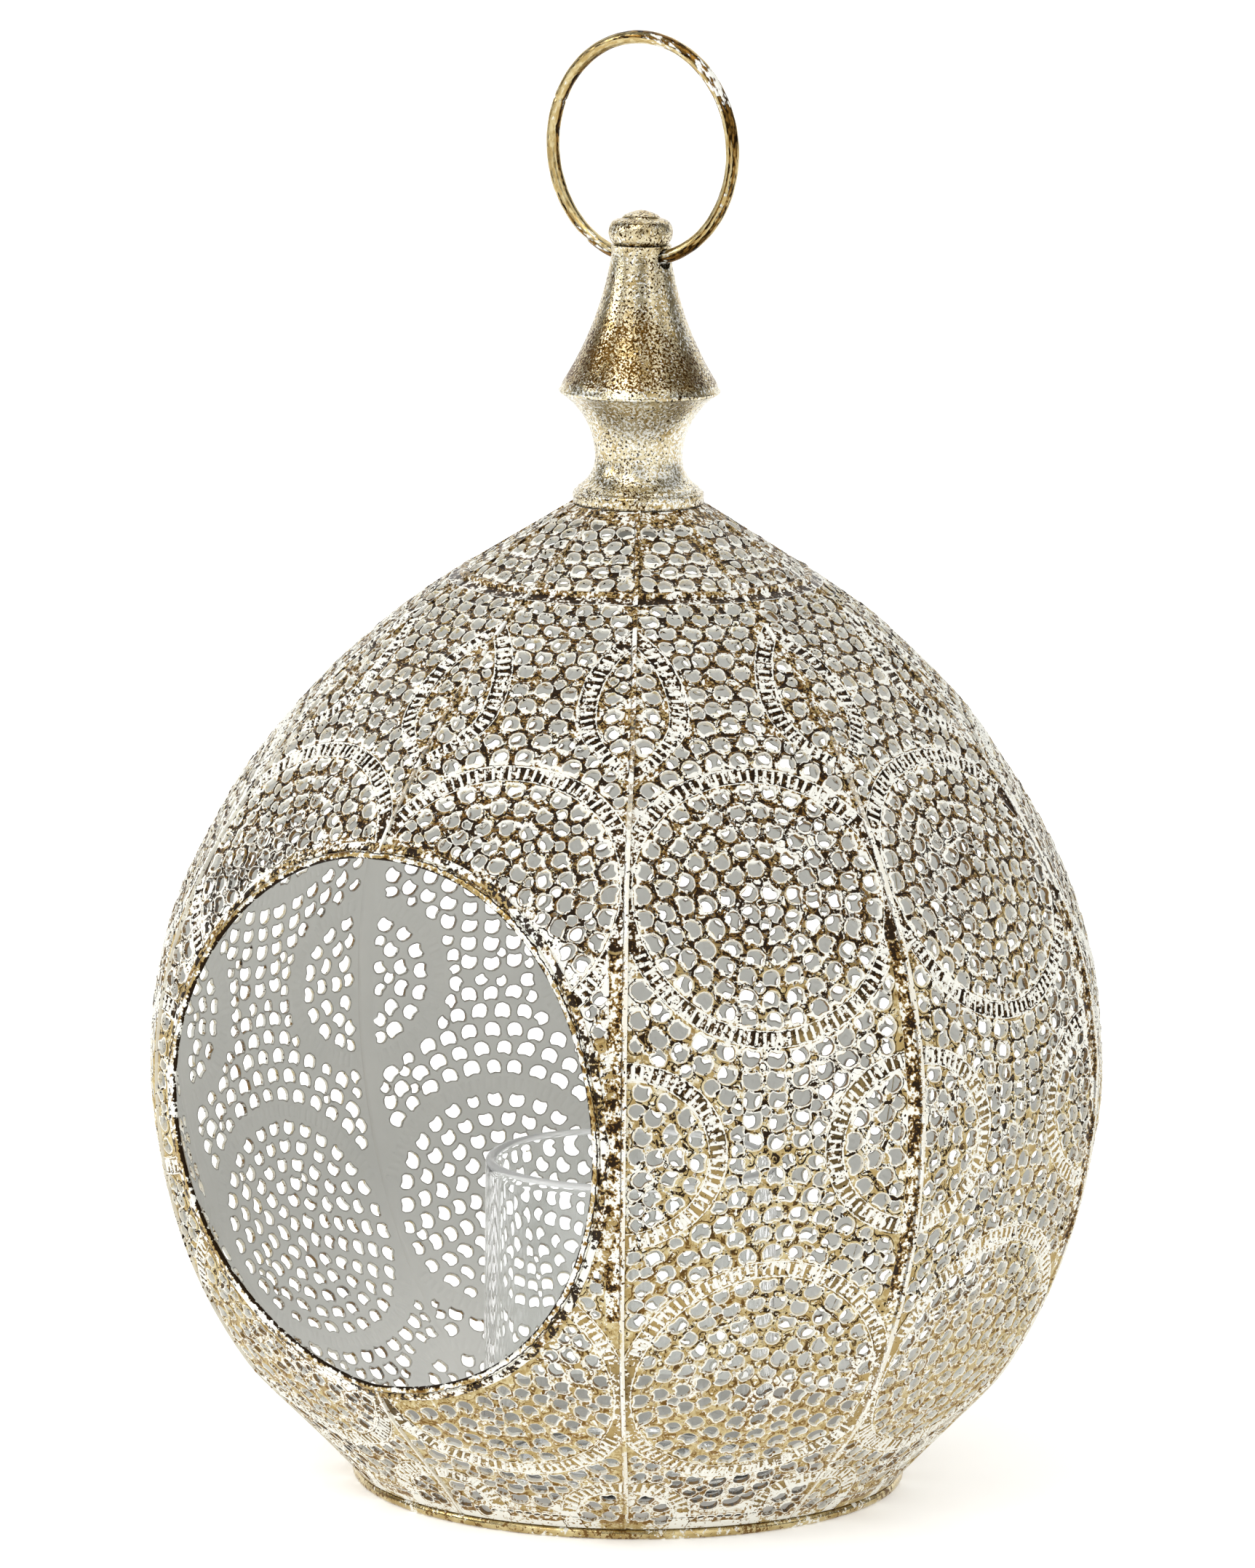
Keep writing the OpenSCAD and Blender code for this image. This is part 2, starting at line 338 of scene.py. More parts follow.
def zone_holes(gore, rng):
    """Every scale that has room in its zone, shrunk where a border is near."""
    kept = []
    for zone, holes in candidate_holes():
        holes[:, :2] += rng.normal(0, 0.16, (len(holes), 2))
        inside = (holes[:, 1] > M_FOOT + 1) & (holes[:, 1] < M_TIP - 1) & (
            np.abs(holes[:, 0]) < half_width(holes[:, 1]))
        holes = holes[inside]
        room = zone_rooms(gore, holes[:, 0], holes[:, 1])[zone]
        fit = np.clip((room - 0.05) / 2.3, 0, 1)
        holes, fit = holes[fit > 0.5], fit[fit > 0.5]
        holes[:, 3:5] *= fit[:, None]
        kept.append(holes)
    return np.concatenate(kept)


SMALLEST, LARGEST = 1.15, 2.1       # room that the small holes in the gaps need, and can use


def filler_holes(gore, holes, rng):
    """Small holes wherever the scales leave room, the largest first."""
    step = 0.7
    s, m = np.meshgrid(np.arange(-41, 41, step), np.arange(M_FOOT + 3, NECK_M - 0.5, step))
    s, m = s.ravel(), m.ravel()
    inside = np.abs(s) < half_width(m) - EDGE
    s, m = s[inside], m[inside]
    room = np.maximum.reduce(list(zone_rooms(gore, s, m).values()))
    s, m, room = s[room > 1.3], m[room > 1.3], room[room > 1.3]
    grid = np.stack([s, m], -1)
    near = nearest(grid, holes[:, :2], 3)
    reach = np.linalg.norm(grid[:, None] - holes[near, :2], axis=-1) - holes[near, 3:5].mean(-1)
    room = np.minimum(room, reach.min(1) - 0.55)
    made = []
    while len(made) < 90 and room.max() >= SMALLEST:
        best = int(np.argmax(room))
        size = min(room[best], LARGEST) * 0.92
        made.append([*grid[best], rng.uniform(0, 2 * math.pi), size, size])
        room = np.minimum(room, np.linalg.norm(grid - grid[best], axis=-1) - size - 0.7)
    return np.array(made).reshape(-1, 5)


def hem_slots(rng):
    """A row of short slots along the hem."""
    w = half_width(SLOT_M)
    return np.array([[x + rng.normal(0, 0.2), SLOT_M + rng.normal(0, 0.12), math.pi / 2, 0.85, 0.36]
                     for x in np.arange(-w + 2.4, w - 2.0, 2.55)])


def fitted_holes(gore, rng):
    """All of a gore's holes; the webs between them are wider on the dome."""
    holes = zone_holes(gore, rng)
    fillers = filler_holes(gore, holes, rng)
    holes[:, 3:5] *= 0.94 - 0.12 * smooth(holes[:, 1], 62, 84)[:, None]
    return np.concatenate([holes, fillers, hem_slots(rng)])


def sampled(path, pitch):
    """A polyline cut into even steps, with the direction at each."""
    run = np.r_[0, np.cumsum(np.linalg.norm(np.diff(path, axis=0), axis=1))]
    count = max(2, round(run[-1] / pitch))
    at = (np.arange(count) + 0.5) * run[-1] / count
    p = np.stack([np.interp(at, run, path[:, i]) for i in (0, 1)], -1)
    ahead = np.stack([np.interp(np.minimum(at + 0.4, run[-1]), run, path[:, i]) for i in (0, 1)], -1)
    back = np.stack([np.interp(np.maximum(at - 0.4, 0), run, path[:, i]) for i in (0, 1)], -1)
    along = (ahead - back) / np.linalg.norm(ahead - back, axis=1, keepdims=True)
    return p, along


def circle_path(centre, radius, stretch=1.0):
    """A circle as a closed polyline, stretched sideways if asked."""
    t = np.linspace(0, 2 * math.pi, 241)
    return np.stack([centre[0] + stretch * radius * np.cos(t), centre[1] + radius * np.sin(t)], -1)


def leaf_path(side, inset):
    m = np.linspace(LEAF_M - LEAF_DOWN, LEAF_M + LEAF_UP, 160)
    return np.stack([side * (half_width(m) - leaf_width(m) + inset), m], -1)


def border_paths(inset):
    """Middle lines of the pattern's borders, inset from their outer edge."""
    seam, base = half_width(SMALL_M), half_width(ARCH_M)
    paths = [circle_path((0, UPPER_M), UPPER_R - inset), circle_path((0, LOWER_M), LOWER_R - inset)]
    for side in (-1, 1):
        paths.append(circle_path((side * seam, SMALL_M), SMALL_R - inset, SMALL_STRETCH))
        paths.append(circle_path((side * base, ARCH_M), ARCH_R - inset))
        paths.append(leaf_path(side, inset / LEAF_SLOPE))
    return paths


def level_path(m, start=-1.0, stop=1.0):
    w = half_width(m)
    s = np.linspace(start * w, stop * w, 60)
    return np.stack([s, np.full_like(s, m)], -1)


def line_gap(s, m):
    """Distance to the nearest thin raised line of the pattern."""
    gaps = []
    for d in outlines(s, m).values():
        gaps += [np.abs(d + 0.35), np.abs(d + BAND - 0.35)]
    gaps.append(np.abs(m - FRINGE_M))
    gaps.append(np.abs(m - HEM_M))
    w = half_width(m)
    gaps.append(np.where(np.abs(m) < STRIP_REACH + 3, np.abs(w - s - STRIP + 0.3), FAR))
    gap = np.minimum.reduce(gaps)
    in_strip = (w - s < STRIP - 1.0) & (np.abs(m) < STRIP_REACH + 3)
    return np.where(in_strip | (m > FRINGE_M + 1), FAR, gap)


def ticks(gore, rng):
    """Short raised bars: s, m, heading, half length, half width."""
    bars = []
    for path in border_paths(BAND / 2):
        p, along = sampled(path, TICK_PITCH)
        heading = np.arctan2(along[:, 1], along[:, 0]) + math.pi / 2
        bars.append(np.stack([p[:, 0], p[:, 1], heading + rng.normal(0, 0.05, len(p)),
                              TICK_LONG / 2 * rng.normal(1, 0.06, len(p)),
                              TICK_WIDE / 2 * rng.normal(1, 0.10, len(p))], -1))
    bars = np.concatenate(bars)
    w = half_width(bars[:, 1])
    plain_strip = (w - bars[:, 0] < STRIP + 0.4) & (np.abs(bars[:, 1]) < STRIP_REACH + 3)
    bars = bars[~plain_strip]
    bricks = []
    m = -STRIP_REACH + 1
    while m < STRIP_REACH - 1:
        if rng.random() < 0.9:
            bricks.append([half_width(m) - STRIP * 0.5 + 0.1, m, rng.normal(0, 0.06),
                           rng.uniform(1.2, 1.7), rng.uniform(0.35, 0.6)])
        m += rng.uniform(1.7, 3.2)
    bars = np.concatenate([bars, np.array(bricks)])
    if gore == 0:
        turn = np.arange(-0.62, 0.62, 0.031)
        at = mouth_edge(gore, 76.0, turn)
        spokes = np.stack([at[:, 0], at[:, 1], turn, rng.uniform(0.9, 1.3, len(turn)),
                           rng.uniform(0.4, 0.65, len(turn))], -1)
        bars = np.concatenate([bars, spokes[rng.random(len(turn)) < 0.85]])
    reach = bars[:, 3] + 0.3
    ok = np.ones(len(bars), bool)
    for sign in (-1, 1):
        s = bars[:, 0] + sign * reach * np.cos(bars[:, 2])
        m = bars[:, 1] + sign * reach * np.sin(bars[:, 2])
        ok &= (np.abs(s) < half_width(m) - 0.9) & (m > HEM_M + 0.5) & (mouth_gap(gore, s, m) > 74.4)
    return bars[ok]


def bar_depth(points, bars):
    """How far inside its nearest bar each point lies, in millimetres; negative outside."""
    pick = bars[nearest(points, bars[:, :2], 3)]
    d = points[:, None, :] - pick[..., :2]
    cos, sin = np.cos(pick[..., 2]), np.sin(pick[..., 2])
    lengthwise = np.abs(d[..., 0] * cos + d[..., 1] * sin)
    across = np.abs(-d[..., 0] * sin + d[..., 1] * cos)
    return np.minimum(pick[..., 3] - lengthwise, pick[..., 4] - across).max(1)


# a bar's foot, with its corners cut, and its top, for a half length and half width of 1
BAR_RING = np.array([(-1, -0.5), (-0.75, -1), (0.75, -1), (1, -0.5), (1, 0.5), (0.75, 1), (-0.75, 1),
                     (-1, 0.5)])
BAR_TOP = np.array([(-1, -1), (1, -1), (1, 1), (-1, 1)])


def bar_points(bars, shape, inset):
    """Each bar's outline in one of the two shapes, drawn in by inset."""
    half = np.maximum(bars[:, None, 3:5] - inset, 0.08)
    local = shape[None] * half
    cos, sin = np.cos(bars[:, 2])[:, None], np.sin(bars[:, 2])[:, None]
    return np.stack([bars[:, 0, None] + local[..., 0] * cos - local[..., 1] * sin,
                     bars[:, 1, None] + local[..., 0] * sin + local[..., 1] * cos], -1)


class Plan:
    """Points and edges of a flat drawing, on their way to a triangulation."""

    def __init__(self):
        self.points, self.edges, self.count = [], [], 0

    def loop(self, loops):
        """loops is (count, corners, 2); each becomes a closed chain."""
        n, k = loops.shape[:2]
        index = self.count + np.arange(n * k).reshape(n, k)
        self.points.append(loops.reshape(-1, 2))
        self.edges.append(np.stack([index, np.roll(index, -1, 1)], -1).reshape(-1, 2))
        self.count += n * k

    def chain(self, points, keep):
        """An open polyline without the points that aren't kept."""
        index = np.full(len(points), -1)
        index[keep] = self.count + np.arange(int(keep.sum()))
        self.points.append(points[keep])
        pairs = np.stack([index[:-1], index[1:]], -1)
        self.edges.append(pairs[(pairs >= 0).all(1)])
        self.count += int(keep.sum())

    def loose(self, points):
        self.points.append(points)
        self.count += len(points)

    def triangles(self):
        points, edges = np.concatenate(self.points), np.concatenate(self.edges)
        made = delaunay_2d_cdt([Vector(p) for p in points.tolist()], edges.tolist(), [], 0, 1e-5, False)
        return np.array([tuple(v) for v in made[0]]), np.array([tuple(f) for f in made[2]])


LAP = 0.7       # how far a gore's right edge laps over its neighbour


def gore_border(gore):
    """Closed outline of a gore's sheet, anticlockwise, with its lap on the right."""
    step = 1.6
    up = np.linspace(M_FOOT, M_TIP, int((M_TIP - M_FOOT) / step))
    right = np.stack([half_width(up) + LAP * smooth(up, M_FOOT, M_FOOT + 8), up], -1)
    left = np.stack([-half_width(up), up], -1)[::-1]
    if gore in (0, GORES - 1):
        corner = mouth_seam_turn(SHEET_EDGE_R)
        if gore == 0:
            bite = mouth_edge(gore, SHEET_EDGE_R, np.linspace(corner, -corner, 150))
            bite[[0, -1], 0] = -half_width(bite[[0, -1], 1])
            left = np.concatenate([left[left[:, 1] > bite[0, 1] + 0.8], bite,
                                   left[left[:, 1] < bite[-1, 1] - 0.8]])
        else:
            bite = mouth_edge(gore, SHEET_EDGE_R, np.linspace(2 * math.pi - corner, corner, 150))
            bite[[0, -1], 0] = half_width(bite[[0, -1], 1]) + LAP
            right = np.concatenate([right[right[:, 1] < bite[0, 1] - 0.8], bite,
                                    right[right[:, 1] > bite[-1, 1] + 0.8]])
    bottom = np.linspace(left[-1], right[0], 32)[1:-1]
    top = np.linspace(right[-1], left[0], 10)[1:-1]
    return np.concatenate([bottom, right, top, left])


def in_sheet(gore, s, m, margin):
    w = half_width(m)
    return ((s > -w + margin) & (s < w + LAP - margin) & (m > M_FOOT + margin) & (m < M_TIP - margin)
            & (mouth_gap(gore, s, m) > SHEET_EDGE_R + margin))


def plan_gore(gore, rng):
    """Flat mesh of one gore, its points and triangles, and its holes, their rims and the bars."""
    holes = fitted_holes(gore, rng)
    rims = hole_outlines(holes, rng)
    bars = ticks(gore, rng)
    border = gore_border(gore)
    plan = Plan()
    plan.loop(border[None])
    plan.loop(rims)
    plan.loop(spread(rims, 0.30))
    plan.loop(bar_points(bars, BAR_RING, 0.0))
    plan.loop(bar_points(bars, BAR_TOP, 0.28))
    for inset in (0.35, BAND - 0.35):
        for path in border_paths(inset):
            add_line(plan, gore, path, rims, holes, bars)
    strip_m = np.linspace(-STRIP_REACH, STRIP_REACH, 80)
    add_line(plan, gore, np.stack([half_width(strip_m) - STRIP + 0.3, strip_m], -1), rims, holes, bars)
    for m in (FRINGE_M, HEM_M, ROLL_M - 1.2, ROLL_M, ROLL_M + 1.2, M_FOOT + 3):
        add_line(plan, gore, level_path(m), rims, holes, bars)
    for points in loose_points(gore, rims, holes[:, :2], bars, rng):
        plan.loose(points)
    points, faces = plan.triangles()
    centre = points[faces].mean(1)
    keep = outline_gap(centre, rims, holes[:, :2]) > 0
    keep &= in_sheet(gore, centre[:, 0], centre[:, 1], 0.0)
    return points, faces[keep], holes, rims, bars


def loose_points(gore, rims, centres, bars, rng):
    """Points that carry the relief: along the seams, over the open sheet and round the holes."""
    up = np.arange(M_FOOT + 2, M_TIP - 2, 1.5)
    for side, inset in ((1, 0.3), (1, 0.85), (1, 1.25), (-1, 0.5), (-1, 0.95)):
        edge = np.stack([side * (half_width(up) - inset), up], -1)
        edge = edge[in_sheet(gore, edge[:, 0], edge[:, 1], 0.2)]
        edge = edge[outline_gap(edge, rims, centres) > 0.35]
        yield edge[bar_depth(edge, bars) < -0.12]
    s, m = np.meshgrid(np.arange(-42, 43, 1.9), np.arange(M_FOOT, M_TIP, 1.65))
    s = s + 0.95 * (np.arange(s.shape[0]) % 2)[:, None]
    grid = np.stack([s.ravel(), m.ravel()], -1)
    grid = grid + rng.normal(0, 0.12, grid.shape)
    grid = grid[in_sheet(gore, grid[:, 0], grid[:, 1], 0.6)]
    grid = grid[half_width(grid[:, 1]) - np.abs(grid[:, 0]) > 1.6]
    grid = grid[outline_gap(grid, rims, centres) > 0.95]
    grid = grid[bar_depth(grid, bars) < -0.35]
    yield grid[line_gap(grid[:, 0], grid[:, 1]) > 0.95]
    ridge = spread(rims, 0.62).reshape(-1, 2)
    ridge = ridge[np.unique(np.round(ridge / 0.3), axis=0, return_index=True)[1]]
    ridge = ridge[in_sheet(gore, ridge[:, 0], ridge[:, 1], 0.6) & (bar_depth(ridge, bars) < -0.2)]
    yield ridge[outline_gap(ridge, rims, centres) > 0.47]


def add_line(plan, gore, path, rims, holes, bars):
    """A thin raised line: its crest and two feet."""
    p, along = sampled(path, 1.5)
    across = np.stack([along[:, 1], -along[:, 0]], -1)
    for shift in (-LINE_WIDE, 0.0, LINE_WIDE):
        q = p + shift * across
        keep = in_sheet(gore, q[:, 0], q[:, 1], 0.45)
        w = half_width(q[:, 1])
        in_strip = (w - q[:, 0] < STRIP - 0.6) & (np.abs(q[:, 1]) < STRIP_REACH + 3)
        keep &= ~(in_strip & (np.abs(along[:, 1]) < 0.99))
        if keep.any():
            keep[keep] = outline_gap(q[keep], rims, holes[:, :2]) > 0.36
        if keep.any():
            keep[keep] = bar_depth(q[keep], bars) < -0.12
        if keep.any() and shift == 0.0:
            plan.chain(q, keep)
        elif keep.any():
            plan.loose(q[keep])


def dents(s, m, rng):
    """Slow hand-beaten unevenness, in millimetres."""
    total = np.zeros_like(s)
    for wavelength, height in ((38, 0.22), (19, 0.13), (9, 0.06)):
        for _ in range(3):
            a, phase = rng.uniform(0, math.pi), rng.uniform(0, 2 * math.pi)
            along = s * math.cos(a) + m * math.sin(a)
            total += height * np.sin(along * 2 * math.pi / wavelength + phase) / 1.7
    return total


# relief: mm above the sheet. gap: mm to the nearest hole, or in the plain strips to the nearest brick.
# border: 1 in the bands of ticks and in the band under the roll, 0.5 in the plain strips. seam: mm to the
# gore's right edge, 5 at most. ahead: 1 before a hole's round end, -1 behind it. middle: how much further
# off the second hole is than the nearest, so 0 half way between the two.
SHEET_MARKS = ("relief", "gap", "border", "seam", "ahead", "middle")


def gore_relief(gore, points, holes, rims, bars, rng):
    """The marks of each point, and how far the sheet is dented there."""
    s, m = points[:, 0], points[:, 1]
    w = half_width(m)
    gaps, close = hole_gaps(points, rims, holes[:, :2])
    nearby = close[np.arange(len(points)), gaps.argmin(1)]
    gaps = np.sort(np.maximum(gaps, 0), axis=1)
    gap, middle = gaps[:, 0], gaps[:, 1] - gaps[:, 0]
    away = points - holes[nearby, :2]
    far = np.maximum(np.linalg.norm(away, axis=1), 0.1)
    above = away[:, 1] / far
    ahead = (away[:, 0] * np.cos(holes[nearby, 2]) + away[:, 1] * np.sin(holes[nearby, 2])) / far
    lip = np.interp(gap, [0, 0.3, 0.8, 1.3], [0.38, 0.5, 0.1, 0])
    lip = lip + 0.16 * above * np.interp(gap, [0, 0.3, 1.4, 2.5], [0.4, 1, 1, 0])
    line = 0.5 * np.clip(1 - line_gap(s, m) / LINE_WIDE, 0, 1)
    bar = 0.55 * np.clip(bar_depth(points, bars) / 0.28, 0, 1)
    roll = 1.0 * np.clip(1 - (np.abs(m - ROLL_M) / 1.2) ** 2, 0, 1)
    hem = 0.5 * smooth(HEM_M + 0.2 - m, 0, 0.7)
    lap = np.interp(w - s, [-LAP, 0.3, 0.85], [0.65, 0.55, 0]) * smooth(m, M_FOOT, M_FOOT + 8)
    tuck = 0.3 * np.clip(1 - (s + w) / 0.95, 0, 1)
    height = np.maximum.reduce([lip, line, bar, roll, hem, lap]) - tuck
    d = outlines(s, m)
    border = np.zeros(len(s))
    for v in d.values():
        border = np.maximum(border, ((v < -0.2) & (v > -BAND + 0.2)).astype(float))
    strip = (w - s < STRIP - 0.3) & (np.abs(m) < STRIP_REACH)
    if gore == 0:
        strip |= (mouth_gap(gore, s, m) < 77.5) & (w - s < STRIP + 3)
    border[strip] = 0.5
    outside_bar = np.clip(-bar_depth(points, bars), 0, 3)
    gap = np.where(strip, outside_bar, gap)
    ahead = np.where(strip, np.where(bar > 0, -0.8, 0.6), ahead)
    middle = np.where(strip | (gap > 2.2), 3, middle)
    border = np.maximum(border, ((m > FRINGE_M) & (m < ROLL_M - 1.2)).astype(float))
    still = smooth(m, M_FOOT, M_FOOT + 20) * (1 - smooth(m, M_TIP - 30, M_TIP))
    still = still * smooth(w - np.abs(s), 0, 8) * smooth(mouth_gap(gore, s, m), 74, 82)
    marks = height, gap, border, np.minimum(w - s, 5), ahead, middle
    return dict(zip(SHEET_MARKS, marks)), dents(s, m, rng) * still


def linked(name, data):
    """A new object that shows data, in the scene."""
    made = bpy.data.objects.new(name, data)
    bpy.context.scene.collection.objects.link(made)
    return made


def mark(mesh, name, values):
    mesh.attributes.new(name, "FLOAT", "POINT").data.foreach_set("value", values.astype(np.float32))


def build_gore(gore):
    """One gore as a watertight pierced sheet."""
    rng = np.random.default_rng(100 + gore)
    points, faces, holes, rims, bars = plan_gore(gore, rng)
    marks, dent = gore_relief(gore, points, holes, rims, bars, rng)
    used = np.zeros(len(points), bool)
    used[faces.ravel()] = True
    index = np.cumsum(used) - 1
    faces = index[faces]
    points, dent = points[used], dent[used]
    marks = {label: value[used] for label, value in marks.items()}
    height = marks["relief"]
    n = len(points)
    outer = shell_xyz(gore, points[:, 0], points[:, 1], height + dent)
    inner = shell_xyz(gore, points[:, 0], points[:, 1], dent - SHEET + 0.35 * height)
    pairs = np.concatenate([faces[:, [0, 1]], faces[:, [1, 2]], faces[:, [2, 0]]])
    key = np.sort(pairs, 1)
    _, first, count = np.unique(key[:, 0] * n + key[:, 1], return_index=True, return_counts=True)
    rim = pairs[first[count == 1]]
    wall = np.stack([rim[:, 1], rim[:, 0], rim[:, 0] + n, rim[:, 1] + n], -1)
    name = f"pierced_gore_{gore + 1:02d}"
    shell = faces.tolist() + (faces[:, ::-1] + n).tolist() + wall.tolist()
    mesh = bpy.data.meshes.new(name)
    mesh.from_pydata((np.concatenate([outer, inner]) * MM).tolist(), [], shell)
    material = np.zeros(len(shell), np.int32)
    material[len(faces):2 * len(faces)] = 1
    mesh.polygons.foreach_set("material_index", material)
    for label, value in marks.items():
        mark(mesh, label, np.concatenate([value, value]))
    mesh.shade_smooth()
    mesh.set_sharp_from_angle(angle=math.radians(48))
    return linked(name, mesh)


# ---------------------------------------------------------------- finishes
def srgb(red, green, blue):
    """A colour given as 0 to 255, in the linear values that shaders take."""
    share = [v / 255 for v in (red, green, blue)]
    return tuple(v / 12.92 if v <= 0.04045 else ((v + 0.055) / 1.055) ** 2.4 for v in share) + (1.0,)


CREAM, LAP_CREAM = srgb(240, 239, 230), srgb(226, 222, 208)
GOLD, PALE_GOLD, TARNISH = srgb(172, 148, 96), srgb(206, 190, 144), srgb(158, 130, 82)
BROWN, DARK = srgb(116, 84, 36), srgb(36, 23, 8)


class Finish:
    """A material and the few node recipes that the finishes share."""

    def __init__(self, name, roughness=0.5, metallic=0.0):
        self.material = bpy.data.materials.new(name)
        self.material.use_nodes = True
        self.tree = self.material.node_tree
        self.shader = self.tree.nodes["Principled BSDF"]
        self.set("Roughness", roughness)
        self.set("Metallic", metallic)
        self.place = self.node("TexCoord").outputs["Object"]
        parts = self.node("SeparateXYZ")
        self.put(parts.inputs[0], self.place)
        self.height = parts.outputs["Z"]

    def node(self, kind):
        return self.tree.nodes.new("ShaderNode" + kind)

    def put(self, socket, value):
        if isinstance(value, bpy.types.NodeSocket):
            self.tree.links.new(value, socket)
        else:
            socket.default_value = value

    def set(self, name, value):
        self.put(self.shader.inputs[name], value)

    def maths(self, operation, a, b=0.0):
        node = self.node("Math")
        node.operation = operation
        self.put(node.inputs[0], a)
        self.put(node.inputs[1], b)
        return node.outputs[0]

    def times(self, first, *others):
        for value in others:
            first = self.maths("MULTIPLY", first, value)
        return first

    def total(self, *parts):
        """Sum of values, of (value, weight) pairs and, after the first, of plain numbers."""
        made = None
        for part in parts:
            term = self.times(*part) if isinstance(part, tuple) else part
            made = term if made is None else self.maths("ADD", made, term)
        return made

    def noise(self, size, detail=2.0, rough=0.55, shift=0.0, stretch=(1, 1, 1)):
        """Noise with features of about size metres, from 0 to 1."""
        spot = self.node("Mapping")
        spot.inputs["Location"].default_value = (shift, shift * 0.7, -shift)
        spot.inputs["Scale"].default_value = stretch
        self.put(spot.inputs["Vector"], self.place)
        node = self.node("TexNoise")
        node.inputs["Scale"].default_value = 0.5 / size
        node.inputs["Detail"].default_value = detail
        node.inputs["Roughness"].default_value = rough
        self.put(node.inputs["Vector"], spot.outputs[0])
        return node.outputs[0]

    def grain(self, size, **kind):
        """Noise about zero, from -0.5 to 0.5."""
        return self.maths("SUBTRACT", self.noise(size, **kind), 0.5)

    def between(self, value, low, high):
        """0 at low, 1 at high, and smooth between; high may lie below low."""
        node = self.node("MapRange")
        node.interpolation_type = "SMOOTHSTEP"
        self.put(node.inputs["Value"], value)
        node.inputs["From Min"].default_value, node.inputs["From Max"].default_value = low, high
        return node.outputs[0]

    def mix(self, share, a, b):
        node = self.node("Mix")
        node.data_type = "RGBA"
        self.put(node.inputs["Factor"], share)
        self.put(node.inputs[6], a)
        self.put(node.inputs[7], b)
        return node.outputs[2]

    def attribute(self, name):
        node = self.node("Attribute")
        node.attribute_name = name
        return node.outputs["Fac"]

    def bump(self, height, distance, strength=1.0):
        node = self.node("Bump")
        node.inputs["Strength"].default_value = strength
        node.inputs["Distance"].default_value = distance
        self.put(node.inputs["Height"], height)
        self.set("Normal", node.outputs[0])


def sheet_marks(f):
    """What a gore's skin is worked out from: the mesh's marks, three sizes of noise, age and wash."""
    k = SimpleNamespace(**{name: f.attribute(name) for name in SHEET_MARKS})
    k.grit = f.grain(0.00045)
    k.blotch = f.grain(0.0016, shift=3.0)
    k.patch = f.grain(0.007, shift=21.0)
    k.rough = f.total(k.blotch, (k.grit, 0.8))
    k.upper = f.between(f.height, 0.115, 0.185)
    # the metal is gold near the foot and dark brown towards the dome
    cloud = f.grain(0.030, shift=11.0)
    k.aged = f.total(f.between(f.height, 0.075, 0.235), (cloud, 1.2), (k.patch, 0.8), (k.blotch, 0.4))
    belly = f.between(f.height, 0.09, 0.14)
    dome = f.between(f.height, 0.175, 0.225)
    foot = f.between(f.height, 0.035, 0.012)
    spill = f.total((f.grain(0.016, shift=31.0), 1.5), (k.rough, 0.8), (belly, 0.14), (dome, -0.26),
                    (foot, 0.16), -0.13)
    k.washed = f.between(spill, -0.03, 0.09)
    patina = f.mix(f.between(k.aged, -0.3, 0.1), BROWN, DARK)
    patina = f.mix(f.between(k.grit, 0.10, 0.15), patina, BROWN)
    low_patina = f.mix(f.between(k.rough, -0.1, 0.1), BROWN, TARNISH)
    k.patina = f.mix(f.between(f.height, 0.075, 0.035), patina, low_patina)
    return k


def scale_skin(f, k):
    """A pale lip round each hole, a dark line past the lip, and gold, brown or wash between the holes."""
    across = f.total(k.ahead, (k.rough, 0.8))
    edge = f.total(k.gap, (k.blotch, 0.22), (k.grit, 0.3))
    round_side = f.between(across, -0.3, 0.0)
    young = f.mix(f.between(k.rough, -0.12, 0.12), GOLD, PALE_GOLD)
    old = f.mix(f.between(k.rough, 0.02, 0.10), f.mix(f.between(k.grit, -0.1, 0.1), BROWN, GOLD), CREAM)
    old = f.mix(f.between(k.rough, -0.14, -0.08), DARK, old)
    web = f.mix(f.between(k.aged, 0.35, 0.75), young, old)
    tucked = f.between(f.total(edge, (k.upper, -0.5)), 0.55, 0.40)
    web = f.mix(f.times(f.between(across, 0.0, -0.3), tucked), web, CREAM)
    web = f.mix(k.washed, web, CREAM)
    # the dark line runs just past the lip of the scale in front, and bare metal shows on both sides of it
    side = f.total((f.between(across, -0.12, 0.12), -1.0), 0.5)
    off_line = f.maths("ABSOLUTE", f.total(f.times(k.middle, side), (k.grit, 0.5), -0.10))
    off_line = f.total(off_line, (f.between(k.aged, 0.35, 0.9), -0.06), (k.upper, -0.08), (k.washed, 0.06))
    past = f.total(edge, (k.upper, 0.04))
    loop = f.times(f.between(past, 0.62, 0.70), f.between(past, 0.98, 0.86), round_side)
    unbroken = f.between(f.total(k.rough, (k.washed, 0.03), (k.upper, -0.10)), 0.26, 0.18)
    line = f.times(f.maths("MAXIMUM", f.between(off_line, 0.34, 0.24), loop), unbroken)
    pale = f.mix(f.between(k.grit, -0.02, 0.05), PALE_GOLD, CREAM)
    bare = f.mix(f.between(k.rough, -0.03, 0.03), f.mix(k.upper, GOLD, BROWN), pale)
    fringe = f.times(f.between(off_line, 0.56, 0.40), f.total((k.washed, -0.5), 1.0))
    skin = f.mix(line, f.mix(fringe, web, bare), k.patina)
    lip = f.between(f.total(edge, (k.upper, 0.05)), 0.38, 0.26)
    lip = f.times(lip, f.total((round_side, -0.25), 1.0))
    skin = f.mix(lip, skin, f.mix(f.between(k.rough, 0.0, 0.25), CREAM, PALE_GOLD))
    cut = f.times(f.between(edge, 0.17, 0.09), f.total((k.washed, 0.75), 0.15))
    return f.mix(cut, skin, f.mix(f.between(k.rough, -0.1, 0.1), DARK, BROWN))


